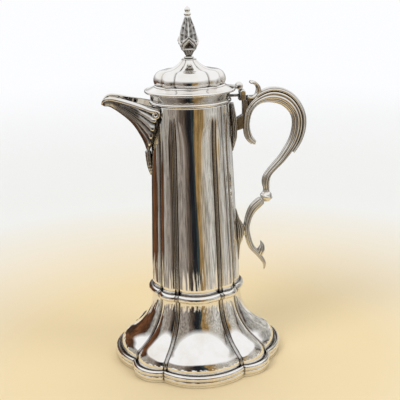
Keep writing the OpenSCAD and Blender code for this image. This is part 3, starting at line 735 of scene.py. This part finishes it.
def spout_leaf():
    """Leaf that hangs below the shell, with a middle rib and side veins."""
    shares = [(0, 1.17, 1, 1), (0.35, 0.85, 1.05, 1), (0.7, 0.45, 0.85, 0.7), (1, 0, 0.35, 0.2)]
    top = NECK_Z - SPOUT_DROP + 1
    path = spline(wall_guides(shares, start=top, height=-26, depth=3, half=4.5, side=-1), 14)
    a = around(72)[None]
    along = np.linspace(0, 1, len(path))[:, None]
    rib = np.abs(np.cos(3*a))**0.8
    vein = np.abs(np.sin(7*math.pi*along + 2.5*np.abs(np.sin(a))))
    size = 0.8 + 0.2*rib + 0.06*vein
    # Painted shade and tarnish beside the middle rib and in the veins
    shade_and_tarnish = held(1.2*(1 - rib)**2 + 0.3*(1 - vein)**3)
    points, faces, recess = swept(path, polar(size, a), shade_and_tarnish)
    piece("spout_leaf_cast", (tucked(points), faces, recess), "spout_leaf")


# Handle

def guide(g, start=NECK_R, reach=HANDLE_REACH):
    """Guide at shares of the reach and drop, and of the strap's half-depth and half-width."""
    return (start + g[0]*reach, RIM_Z - g[1]*HANDLE_DROP, g[2]*STRAP_D, g[3]*STRAP_HALF)


UPPER_GUIDES = [guide(g) for g in (
    (0.326, 0.287, 0.15, 0.25), (0.31, 0.282, 0.48, 0.6), (0.239, 0.249, 0.68, 0.76),
    (0.217, 0.184, 0.57, 0.77), (0.259, 0.108, 0.63, 0.85), (0.375, 0.061, 0.75, 0.92),
    (0.547, 0.0435, 1.16, 1.04), (0.72, 0.065, 1.19, 1.04), (0.845, 0.122, 1.06, 1), (0.882, 0.192, 1.04, 1),
    (0.831, 0.28, 1, 0.97), (0.685, 0.371, 0.8, 0.92), (0.519, 0.444, 0.68, 0.84), (0.463, 0.488, 0.8, 0.8),
    (0.467, 0.535, 0.62, 0.65), (0.467, 0.545, 0.63, 0.62))]
UPPER_STEPS = 14
UPPER_PATH = spline(UPPER_GUIDES, UPPER_STEPS)
SEAM = 0.1
KNOP_X, KNOP_TOP = UPPER_GUIDES[-1][:2]
KNOP_Z = KNOP_TOP - KNOP_R - SEAM
LOWER_A = 50
PAD_X = BARREL_TOP_R + PAD_OUT
LOWER_PAD_X = BARREL_R + LOWER_PAD_OUT
LOWER_REACH = KNOP_X - LOWER_PAD_X

# Places along the upper guides, counted in guides
LEG_GUIDE = 3
BEAD_START = 1.3
BEAD_END = 4.9
BACK_START = 5
BACK_END = 10.5


def soft_square(a, power):
    """Radius of a rounded square section at angles round it."""
    return (np.abs(np.cos(a))**power + np.abs(np.sin(a))**power)**(-1/power)


def reeded_section(reeds, depth, power=2.6, count=112):
    """Rounded section worked into reeds all round, and the recess of its grooves: painted shade and tarnish
    in them.
    """
    a = around(count)
    ridge = np.abs(np.cos(reeds*a/2))**0.8
    size = soft_square(a, power)*(1 - depth*(1 - ridge))
    return polar(size, a), held(1.5*(1 - ridge)**3)


def edge_bead(side):
    """Bead that runs up the leg's edge and on round the volute."""
    start_r, bead_r, end_r, steps = 0.5, 1.05, 0.6, 30
    leg = UPPER_PATH[round(BEAD_START*UPPER_STEPS): round(BEAD_END*UPPER_STEPS)]
    t = headings(leg)
    edge = leg[:, :2] - 0.9*leg[:, 2:3]*np.stack([t[:, 1], -t[:, 0]], -1)
    route = chain(edge, arc(VOLUTE_C, VOLUTE_R - 0.6, -42, 70, steps))
    points = places(route[:, 0], side*0.88*PLATE_HALF, route[:, 1])
    size = chain(np.linspace(start_r, bead_r, len(edge)), np.linspace(bead_r, end_r, steps + 1))
    return tube(points, size)


def handle_upper():
    """Horn, leg, arch and grip as one reeded strap, with plates at the hinge and the arm to the socket."""
    strap = swept(UPPER_PATH, *reeded_section(8, 0.18))
    low, mid, high = UPPER_GUIDES[LEG_GUIDE: LEG_GUIDE + 3]
    leg_x = PIN_X - 0.4
    web_z, arm_top = VOLUTE_LOW + 4.1, low[1] + 11.5
    leg = [(leg_x, low[1]), low[:2], mid[:2], (mid[0], FORK_LOW), (leg_x, FORK_LOW)]
    web = [(mid[0] - 4, FORK_LOW - 6), mid[:2], high[:2], (high[0] - 2, web_z), (PIN_X + 3.8, web_z)]
    arm = [(PAD_X, low[1] - 6.5), (low[0], low[1] - 3), (low[0], arm_top), (leg_x, arm_top),
           (PAD_X, low[1] + 8)]
    # The leg, web and arm plates are painted dark all over: shade round the hinge and between the socket and
    # the leg
    thin, soft, shade_and_tarnish = 0.68*PLATE_HALF, 1.4, 0.75
    plates = [rounded_plate(outline, thin, soft, shade_and_tarnish) for outline in (leg, web, arm)]
    beads = [edge_bead(side) for side in (1, -1)]
    piece("handle_upper_cast", joined(strap, *plates, *beads), "handle_upper")


def handle_back():
    """Strap along the arch's back, worked into three ridges, with a blunt end."""
    x, z, half_depth, _ = UPPER_PATH.T
    off = np.hypot(x - VOLUTE_C[0], z - VOLUTE_C[1])
    clear = (off > VOLUTE_R + half_depth + 0.5) & (x > VOLUTE_C[0])
    first = max(round(BACK_START*UPPER_STEPS), int(np.argmax(clear)))
    path = UPPER_PATH[first: round(BACK_END*UPPER_STEPS) + 1]
    t = np.linspace(0, 1, len(path))
    thick = BACK_T*np.minimum(1, 2 - 1.3*t)
    a = np.linspace(0, math.pi, 61)[None]
    ridge = np.abs(np.sin(2.5*a))**0.7
    top = np.sin(a)**0.6*(0.78 + 0.2*ridge)
    section = np.hstack([-top, [[0.25]]])
    depth = section*thick[:, None] - path[:, 2:3]
    width = np.hstack([0.8*np.cos(a), [[0]]])*path[:, 3:4]
    # Painted shade in the grooves between the ridges, and full painted shade on the underside
    recess = np.hstack([held((1 - ridge)**1.5), [[1]]])
    piece("handle_back_strap", grid_shape(off_path(path, depth, width), recess), "handle_back")


def handle_volute():
    """Open scroll beside the hinge: a ribbon that swells at its bend, with a dished face and a rolled tip."""
    a = np.linspace(-125, 92, 69)
    half = 1.9 + 0.9*bump(a, -10, 60)
    ring = VOLUTE_C + polar(VOLUTE_R + 0.4 - half, np.radians(a))
    path = np.column_stack([ring, half, np.full(len(ring), PLATE_HALF)])
    s = around(64)
    plain = soft_square(s, 2.2)
    dish = bump(np.sin(s), 0, 0.45)*np.abs(np.cos(s))
    section = np.stack([plain*(1 - 0.25*dish)*np.cos(s), plain*np.sin(s)], -1)
    # The dished face is painted darker: shade in its hollow
    ribbon = swept(path, section, 0.5*dish)
    tip = lathe_across(roller(0, 1.55, PLATE_HALF), ring[-1], 40)
    piece("handle_volute_ribbon", joined(ribbon, tip), "handle_volute")


def hinge_fork():
    """Two round cheeks on a yoke, and the short arm to the neck."""
    cheek_r = FORK_TOP - PIN_Z
    inner, outer, soft = 3.8, FORK_HALF, 1.1
    cheek = chain([(0, inner), (cheek_r, inner)], arc((cheek_r - soft, outer - soft), soft, 0, 90, 5),
                  [(0.6*cheek_r, outer - 0.25), (0, outer)])
    stem = [(PIN_X - 0.8*cheek_r, FORK_LOW), (PIN_X + 0.8*cheek_r, FORK_LOW), (PIN_X + cheek_r, PIN_Z),
            (PIN_X - cheek_r, PIN_Z)]
    # The stems, yoke and arm are painted darker: shade round the hinge
    shapes = []
    for side in (1, -1):
        shapes.append(lathe_across(cheek*(1, side), (PIN_X, PIN_Z), 64))
        shapes.append(rounded_plate(stem, (outer - inner)/2, 0.9, 0.6, side*(outer + inner)/2))
    yoke = rectangle(PIN_X - 1.2*cheek_r, PIN_X + 1.1*cheek_r, FORK_LOW, PIN_Z - cheek_r - 0.6)
    shapes.append(rounded_plate(yoke, outer - 0.4, 1.2, 0.8))
    arm_z, arm_t = NECK_Z + 2*BEAD_R + 0.3, 2
    arm = rectangle(NECK_R - 0.4, PIN_X - 2, arm_z, arm_z + arm_t)
    shapes.append(rounded_plate(arm, PLATE_HALF, 0.8, 0.8))
    piece("hinge_fork_cast", joined(*shapes), "hinge_fork")


def handle_knop():
    """Bead with a raised band at the bend of the two scrolls, and a neck towards each."""
    r, bead_r, band_r, neck_r = KNOP_R, 0.9*KNOP_R, 0.16*KNOP_R, 3.3
    ring_r = 1.15*neck_r
    bead = chain([(0, -bead_r)], arc((0, 0), bead_r, -86, -14, 12), arc((0.84*r, 0), band_r, -70, 70, 8),
                 arc((0, 0), bead_r, 14, 86, 12), [(0, bead_r)])
    stem = [(0, 0), (neck_r, 0), (neck_r, 0.8*r), (ring_r, 0.86*r), (ring_r, 0.97*r), (neck_r, r), (0, r)]
    centre = (KNOP_X, KNOP_Z)
    stems = [turned(lathe(stem, 64), angle, centre) for angle in (0, 180 + LOWER_A)]
    piece("handle_knop_turned", joined(turned(lathe(bead, 96), LOWER_A/3, centre), *stems), "handle_knop")


def leave(g):
    """Guide on the straight stretch along which the lower scroll leaves the knop."""
    d = (1 + g[0])*KNOP_R + SEAM
    a = math.radians(LOWER_A)
    return (KNOP_X - d*math.sin(a), KNOP_Z - d*math.cos(a), g[1]*STRAP_D, g[2]*STRAP_HALF)


LOWER_GUIDES = [leave(g) for g in ((0, 0.8, 0.72), (0.2, 0.88, 0.77), (0.75, 0.92, 0.8))]
LOWER_GUIDES += [guide(g, LOWER_PAD_X, LOWER_REACH) for g in (
    (0.448, 0.642, 0.88, 0.8), (0.294, 0.674, 0.74, 0.8), (0.19, 0.712, 0.65, 0.78),
    (0.142, 0.765, 0.6, 0.77), (0.304, 0.854, 0.58, 0.77), (0.61, 0.906, 0.5, 0.67),
    (0.889, 0.961, 0.34, 0.45), (0.885, 1, 0.12, 0.2))]
LOWER_STEPS = 12
PAD_GUIDE = LOWER_GUIDES[6]


def handle_lower():
    """Reeded lower scroll, and the pad by which it meets its socket."""
    below, above, half, soft = 5, 6, 4, 1
    scroll = swept(spline(LOWER_GUIDES, LOWER_STEPS), *reeded_section(10, 0.14))
    x, z = PAD_GUIDE[:2]
    pad = rounded_plate(rectangle(LOWER_PAD_X, x, z - below, z + above), half, soft)
    piece("handle_lower_scroll", joined(scroll, pad), "handle_lower")


def handle_bud():
    """Leaf bud on the lower scroll's end, folded into lobes."""
    shares = [(0.66, 0.915, 0.8, 0.55), (0.756, 0.885, 0.79, 0.7), (0.803, 0.863, 0.5, 0.55),
              (0.78, 0.846, 0.26, 0.3), (0.737, 0.833, 0.08, 0.1)]
    path = spline([guide(g, LOWER_PAD_X, LOWER_REACH) for g in shares], 10)
    piece("handle_bud_cast", swept(path, *reeded_section(8, 0.3, power=2)), "handle_bud")


# Guides of the sockets: way along the height, distance out, half-depth and half-width, in shares
UPPER_SOCKET = [(0.05, 0.55, 0.67, 0.8), (0.22, 0.78, 0.83, 0.93), (0.48, 1.1, 1, 1), (0.67, 1, 0.9, 0.87),
                (0.85, 0.55, 0.55, 0.47), (1, 0.1, 0.22, 0.1)]
LOWER_SOCKET = [(0.42, 0.04, 0.16, 0.12), (0.24, 0.24, 0.48, 0.69), (0.12, 0.52, 0.84, 0.92), (0, 0.68, 1, 1),
                (-0.14, 0.52, 0.84, 0.92), (-0.3, 0.2, 0.44, 0.62), (-0.58, 0.04, 0.16, 0.12)]


def sockets():
    """Fluted sockets on the barrel's side, flat where the handle's two ends meet them."""
    upper = wall_guides(UPPER_SOCKET, start=NECK_Z, height=-54, depth=3.6, half=7.5)
    lower = wall_guides(LOWER_SOCKET, start=PAD_GUIDE[1], height=59, depth=5, half=6.5)
    fluted = reeded_section(12, 0.24, power=2.2, count=120)
    for name, guides, pad in (("upper_socket", upper, PAD_X), ("lower_socket", lower, LOWER_PAD_X)):
        points, faces, recess = swept(spline(guides, 12), *fluted)
        points[:, 0] = np.minimum(points[:, 0], pad)
        piece(name + "_fluted", (tucked(points), faces, recess), name)


# Lid

def lid_flange():
    """Rolled edge, quirk, broad hollow and the fillet that carries the dome."""
    edge_r = 1.55
    edge_x = FLANGE_R - edge_r
    step_z = DOME_Z - 1.6
    step_r = DOME_FOOT_R + 1
    inner = DOME_FOOT_R*(1 - LOBE_SHARE) - 3
    hollow = spline([(edge_x - 1.3, LID_Z + 2.75), (edge_x - 3.4, LID_Z + 3.4), (step_r + 2.2, LID_Z + 4.9),
                     (step_r + 0.5, step_z - 0.1)], 8)
    profile = chain(
        [(inner, LID_Z), (edge_x, LID_Z)], arc((edge_x, LID_Z + edge_r), edge_r, -85, 140, 20), hollow,
        arc((step_r - 0.3, step_z + 0.45), 0.6, -60, 90, 8), [(step_r - 0.6, DOME_Z), (inner, DOME_Z)])
    piece("lid_flange_turned", lathe(profile), "lid_flange")


def lid_leaf():
    """Ribbed leaf from the dome's foot over the flange to the hinge, and its knuckle."""
    low, high = box_mm("lid_leaf")
    back_x, top = low[0], high[2]
    edge_top = LID_Z + (top - LID_Z)/1.13
    guides = [(back_x, top - 1.8, 0.9, 5), (back_x + 3, top - 2.3, 1.4, 7.6),
              (FLANGE_R - 3, edge_top - 2.2, 1.6, 8), (FLANGE_R, edge_top - 2.3, 1.6, 5.6),
              (PIN_X - 3.6, edge_top - 3.9, 1.6, 3.4), (PIN_X - 1.6, PIN_Z + 2.5, 0.9, 3.2)]
    leaf = swept(spline(guides, 8), *reeded_section(10, 0.22, power=3))
    clearance = 0.05
    knuckle = lathe_across(roller(PIN_R + clearance, PIN_Z - low[2], high[1]), (PIN_X, PIN_Z), 48)
    piece("lid_leaf_ribbed", joined(leaf, knuckle), "lid_leaf")


def lid_thumb():
    """Thumb rest: a roll across the leaf, worked into five ribs, with rounded ends."""
    low, high = box_mm("lid_thumb")
    half, pitch, end = high[1], 2.2, 1.3
    roll_r = (high[0] - low[0])/2
    y = half*np.sin(np.radians(np.linspace(-90, 90, 121)))
    rib = np.abs(np.cos(math.pi*y/pitch))**0.7
    taper = 1 - 0.16*(y/half)**2
    rounded = np.sqrt(held(1 - held((np.abs(y) - half + end)/end)**2))
    r = roll_r*taper*(0.8 + 0.2*rib)*rounded
    centre = ((low[0] + high[0])/2, high[2] - roll_r)
    # Painted shade between the ribs
    roll = lathe_across(np.stack([r, y], -1), centre, 64, 0.9*(1 - rib)**2)
    piece("lid_thumb_ribbed", roll, "lid_thumb")


def dome_profile(inward, steps):
    """Dome from its foot over a round side and a cove to its mouth, moved inward by a wall."""
    side_c = (DOME_R - DOME_SIDE_R, DOME_Z + DOME_SIDE_R/2)
    cove_c = (side_c[0], side_c[1] + DOME_SIDE_R + DOME_COVE_R)
    end = 360 - math.degrees(math.acos((DOME_MOUTH_R - cove_c[0])/DOME_COVE_R))
    foot = (DOME_FOOT_R - inward, DOME_Z)
    side = arc(side_c, DOME_SIDE_R - inward, -20, 75, steps)
    cove = arc(cove_c, DOME_COVE_R + inward, 264, end, steps)
    return chain([foot], side, cove, [(DOME_MOUTH_R - inward, DOME_LIP_Z)])


def lid_dome():
    """Lobed dome with notched creases."""
    outer = plain_rows(dome_profile(0, 24), notch=0.65)
    inner = plain_rows(dome_profile(WALL, 8)[::-1])
    piece("lid_dome_shell", lobed_shell(outer, inner), "lid_dome")


# Finial

def finial_turnings():
    """Seat disc with its spigot, turned ring below the spire, and the ball at its tip."""
    bore, spigot_r, spigot_h = 1.6, 4.6, 6
    disc_z, base_z = DOME_LIP_Z, box_mm("finial_base")[0][2]
    half = (base_z - disc_z)/2
    seat = chain([(bore, disc_z - spigot_h), (spigot_r, disc_z - spigot_h), (spigot_r, disc_z)],
                 arc((SEAT_R - half, disc_z + half), half, -90, 90, 10), [(bore, base_z)])
    piece("finial_seat_turned", lathe(seat, 96), "finial_seat")
    ring_r, ring_x = 1.19, 0.38*FINIAL_R
    base = chain([(bore, base_z)], arc((ring_x, base_z + ring_r), ring_r, -90, 90, 12),
                 [(0.3*FINIAL_R, base_z + 2*ring_r + 0.3), (0.27*FINIAL_R, FINIAL_Z), (bore, FINIAL_Z)])
    piece("finial_base_turned", lathe(base, 96), "finial_base")
    tip = (KNOP_TIP_Z - FINIAL_TOP)/3.25
    end_z = FINIAL_TOP + 3.25*tip
    knop = chain([(0, FINIAL_TOP)], arc((0.72*tip, FINIAL_TOP + 0.55*tip), 0.55*tip, -90, 75, 12),
                 arc((0, FINIAL_TOP + 2*tip), tip, -45, 72, 16),
                 [(0.26*tip, FINIAL_TOP + 3.1*tip), (0.14*tip, end_z), (0, end_z)])
    piece("finial_knop_turned", lathe(knop, 64), "finial_knop")


# Radius and height of the spire, in shares
FINIAL_OUTLINE = [(0.36, 0), (0.52, 0.08), (0.74, 0.15), (0.9, 0.24), (0.96, 0.33), (0.95, 0.4), (0.86, 0.5),
                  (0.75, 0.65), (0.57, 0.79), (0.4, 0.91), (0.26, 1)]


def finial_body():
    """Four-sided gothic spire: gables with sunk panels, leaf ribs on its faces and crockets on its corners.

    Heights (v) are shares of the spire's height, widths (x) are shares of a face's half-width.
    """
    rows, columns = 170, 240
    v = np.linspace(0, 1, rows)[:, None]
    outline = spline(FINIAL_OUTLINE, 6)
    half = np.interp(v, outline[:, 1], outline[:, 0])*FINIAL_R*0.94
    a = around(columns)
    face_a = (a + math.pi/4) % (math.pi/2) - math.pi/4
    x = np.abs(np.tan(face_a))[None]
    square = np.minimum(1/np.cos(face_a), 1.14/np.cos(np.abs(face_a) - math.pi/4))[None]
    rise = v + 0.21*x
    gable = (1.3*bump(rise, 0.48, 0.022) + 0.8*bump(rise, 0.405, 0.014))*smooth((v - 0.22)/0.05)
    panel = smooth((0.36 - rise)/0.03)*smooth((v - 0.17)/0.03)*smooth((0.62 - x)/0.1)
    sill = bump(v, 0.15, 0.014)*smooth((0.7 - x)/0.1)
    leaf = smooth((rise - 0.5)/0.04)*smooth((1 - v)/0.08)
    rib = bump(x, 0, 0.13) + 0.9*bump(x, 0.62, 0.14)
    vein = np.abs(np.sin(math.pi*(7*v - 0.9*x)))
    cup = smooth((0.14 - v)/0.03)
    petal = np.abs(np.cos(2*math.pi*x))**0.7
    crocket = bump(x, 1, 0.3)*sum(bump(v, c, 0.03) for c in (0.37, 0.55, 0.74))
    valley = leaf*(1 - held(rib))
    relief = (1.1*gable - 1.2*panel + 0.7*sill - 0.9*valley*(1 - 0.4*vein) + cup*(0.8*petal - 0.7)
              + 1.3*crocket)
    r = half*square + relief
    z = FINIAL_Z + v*(FINIAL_TOP - FINIAL_Z)
    # Painted shade and tarnish in the panels, the leaves' valleys, the cup and between the gable mouldings,
    # and darker towards the spire's foot
    between = bump(rise, 0.443, 0.014)*smooth((v - 0.2)/0.05)
    painted_shade = 0.5*leaf*(1 - 0.8*bump(x, 0, 0.09)) + 0.45*smooth((0.3 - v)/0.1)*(1 - sill)
    shade_and_tarnish = panel + 0.6*valley*(1 - 0.5*vein) + cup*(1 - petal) + between + painted_shade*(1 - crocket)
    spire = grid_shape(places(r*np.cos(a), r*np.sin(a), z), held(shade_and_tarnish))
    piece("finial_spire", spire, "finial_body")


def carried_over():
    """Finishes of the CAD nodes that stay in view."""
    for name, obj in frame["nodes"].items():
        if not obj.hide_render:
            obj.data.materials.clear()
            obj.data.materials.append(FINISH[SLOT_OF[name]])


for make in (foot_skirt, foot_rim, waist_collar, barrel, neck, spout, spout_leaf, handle_upper, handle_back,
             handle_volute, handle_knop, handle_lower, handle_bud, sockets, hinge_fork, lid_leaf, lid_thumb,
             lid_flange, lid_dome, finial_turnings, finial_body, carried_over):
    make()


# Studio, in metres

WHITE, PALE, CREAM, GREY = (0.84, 0.82, 0.77), (0.6, 0.56, 0.5), (0.66, 0.56, 0.41), (0.42, 0.42, 0.4)
MAUVE, TAUPE, DUSK = (0.43, 0.375, 0.33), (0.24, 0.19, 0.155), (0.09, 0.065, 0.05)
BROWN, UMBER, BLACK = (0.24, 0.1, 0.045), (0.07, 0.035, 0.02), (0.022, 0.023, 0.027)
TEAL, GOLD = (0.05, 0.07, 0.075), (0.42, 0.27, 0.11)

# Bands of colour that the metal mirrors: degrees from the camera's side towards +X, and the colour there
BANDS = [(-176, GREY), (-142, UMBER), (-128, BROWN), (-100, UMBER), (-92, GREY), (-84, PALE), (-68, MAUVE),
         (-44, MAUVE), (-38, TAUPE), (-26, DUSK), (-18, BLACK), (-4, BLACK), (0, TEAL), (7, TEAL), (11, GOLD),
         (23, GOLD), (29, CREAM), (40, PALE), (60, WHITE), (84, PALE), (94, UMBER), (98, GREY), (128, WHITE),
         (150, GREY), (164, UMBER)]

BACKDROP = (0.98, 0.985, 1)
SKY = (0.78, 0.79, 0.8)
SKY_STRENGTH = 0.55
FLOOR_CREAM = (0.82, 0.66, 0.4)
FLOOR_MOTTLE = (0.85, 0.69, 0.43)
FLOOR_WHITE = (0.84, 0.84, 0.82)

# Lamps: name, place, power and colour
LAMPS = [("key", (-2.2, -1.8, 3.2), 60, (1, 0.98, 0.95)), ("fill", (2.6, -1.2, 2.6), 34, (0.95, 0.97, 1)),
         ("top", (0.2, 0.9, 3.6), 36, (1, 1, 1))]
LAMP_SIZE = 2.0
LAMP_AIM = (0, 0, 0.2)

# Camera, fitted to the photo's ellipses
CAMERA_AWAY = 0.793
CAMERA_HEIGHT = 0.407
CAMERA_AZIMUTH = -4.0
CAMERA_PITCH = 16.23
CAMERA_YAW = 0.51
CAMERA_ROLL = -1.73
FOCAL_PIXELS = 762
IMAGE_PIXELS = 400
SENSOR_WIDTH = 36


def seen_rays(tree):
    """1 for the rays by which the camera sees things: straight, mirrored in metal or through glass."""
    rays = node(tree, "LightPath").outputs
    straight = maths(tree, rays["Is Camera Ray"], rays["Is Transmission Ray"], "ADD")
    return maths(tree, straight, rays["Is Glossy Ray"], "ADD")


def pale_floor():
    """Matt floor: cream with a faint mottle round the jug, white further off, lost in the backdrop beyond."""
    material, tree, shader = nodes_of("pale_floor")
    place = node(tree, "TexCoord").outputs["Object"]
    away = node(tree, "VectorMath", {0: place}, operation="LENGTH").outputs["Value"]
    cream = blend(tree, spread(tree, noise(tree, 3, 3), 0.3, 0.7), FLOOR_CREAM, FLOOR_MOTTLE)
    far_off = spread(tree, away, 0.2, 0.6)
    feed(tree, shader, {"Base Color": blend(tree, far_off, cream, FLOOR_WHITE), "Roughness": 0.8,
                        "Specular IOR Level": 0.1})
    glow = node(tree, "Emission", {"Color": (*BACKDROP, 1)})
    lost = maths(tree, seen_rays(tree), spread(tree, away, 0.7, 2.0))
    mix = node(tree, "MixShader", {0: lost, 1: shader.outputs["BSDF"], 2: glow.outputs["Emission"]})
    feed(tree, tree.nodes["Material Output"], {"Surface": mix.outputs[0]})
    return material


def stage_mesh(name, points, faces, material):
    """A piece of the stage, which is no part of the jug."""
    mesh = bpy.data.meshes.new(name)
    mesh.from_pydata(points, [], faces)
    obj = smooth_object(name, mesh, material)
    return obj


def floor():
    """Pale floor that curves up into the backdrop."""
    near, far, side, sweep_r, top = -4.0, 1.6, 5.0, 1.2, 4.0
    profile = [(near, 0)] + arc((far, sweep_r), sweep_r, -90, 0, 16).tolist() + [(far + sweep_r, top)]
    points = [(x, y, z) for y, z in profile for x in (-side, side)]
    faces = [(2*i, 2*i + 1, 2*i + 3, 2*i + 2) for i in range(len(profile) - 1)]
    stage_mesh("floor", points, faces, pale_floor())


def colour_bands():
    """Glowing bands of colour that waver, run in streaks, and end in drips below and softly above."""
    material, tree, _ = nodes_of("colour_bands")
    place = node(tree, "TexCoord").outputs["Object"]
    x, y, z = node(tree, "SeparateXYZ", {"Vector": place}).outputs
    angle = maths(tree, x, maths(tree, y, -1.0, clamp=False), "ARCTAN2", clamp=False)
    waver = spread(tree, noise(tree, 9, 3, (1, 1, 0.35)), 0.25, 0.75, -0.16, 0.16)
    shifted = maths(tree, angle, waver, "ADD", clamp=False)
    ramp = node(tree, "ValToRGB", {"Fac": spread(tree, shifted, -math.pi, math.pi)})
    stops = ramp.color_ramp.elements
    while len(stops) < len(BANDS):
        stops.new(1.0)
    for stop, (degrees, colour) in zip(stops, BANDS):
        stop.position = (degrees + 180)/360
        stop.color = (*colour, 1)
    drips = spread(tree, noise(tree, 34, 4, (1, 1, 0.1)), 0.3, 0.7, -0.05, 0.05)
    ragged = maths(tree, z, drips, "ADD", clamp=False)
    shown = maths(tree, spread(tree, ragged, 0.0, 0.02), spread(tree, z, 0.45, 0.25))
    streak = spread(tree, noise(tree, 75, 3, (1, 1, 0.04)), 0.36, 0.6, 0.35, 1.0)
    glow = node(tree, "Emission", {"Color": ramp.outputs["Color"], "Strength": streak})
    clear = node(tree, "BsdfTransparent")
    mix = node(tree, "MixShader", {0: shown, 1: clear.outputs[0], 2: glow.outputs[0]})
    feed(tree, tree.nodes["Material Output"], {"Surface": mix.outputs[0]})
    return material


def surround():
    """Flared ring round the jug with the bands of colour, seen only in the metal."""
    foot_r, flare, low, high, steps = 0.25, 0.6, 0.002, 0.45, 96
    edges = ((foot_r, low), (foot_r + flare*high, high))
    points = [(x, y, h) for r, h in edges for x, y in polar(r, around(steps))]
    faces = [(i, (i + 1) % steps, steps + (i + 1) % steps, steps + i) for i in range(steps)]
    obj = stage_mesh("colour_bands", points, faces, colour_bands())
    obj.visible_camera = False
    obj.visible_diffuse = False
    obj.visible_shadow = False


def lights():
    """Soft round lamps that the metal doesn't mirror."""
    for name, place, power, colour in LAMPS:
        light = bpy.data.lights.new(name, "AREA")
        light.shape, light.size, light.energy, light.color = "DISK", LAMP_SIZE, power, colour
        obj = placed(name, light)
        obj.location = place
        obj.rotation_euler = (Vector(LAMP_AIM) - Vector(place)).to_track_quat("-Z", "Y").to_euler()
        obj.visible_glossy = False


def world():
    """Soft light from all round; the camera and the metal see the pale backdrop."""
    w = bpy.data.worlds.new("studio")
    bpy.context.scene.world = w
    w.use_nodes = True
    tree = w.node_tree
    seen = seen_rays(tree)
    feed(tree, tree.nodes["Background"], {"Color": blend(tree, seen, SKY, BACKDROP),
                                          "Strength": spread(tree, seen, 0, 1, SKY_STRENGTH, 1.0)})


def camera():
    """Camera at the photo's place, aimed and rolled as the photo is."""
    data = bpy.data.cameras.new("photo_camera")
    data.sensor_width = SENSOR_WIDTH
    data.lens = SENSOR_WIDTH*FOCAL_PIXELS/IMAGE_PIXELS
    obj = placed("photo_camera", data)
    a = math.radians(CAMERA_AZIMUTH)
    place = Matrix.Translation((CAMERA_AWAY*math.sin(a), -CAMERA_AWAY*math.cos(a), CAMERA_HEIGHT))
    turn = Matrix.Rotation(a - math.radians(CAMERA_YAW), 4, "Z")
    tilt = Matrix.Rotation(math.radians(90 - CAMERA_PITCH), 4, "X")
    roll = Matrix.Rotation(math.radians(CAMERA_ROLL), 4, "Z")
    obj.matrix_world = place @ turn @ tilt @ roll
    bpy.context.scene.camera = obj


floor()
surround()
lights()
world()
camera()
bpy.context.scene.view_settings.view_transform = "Standard"
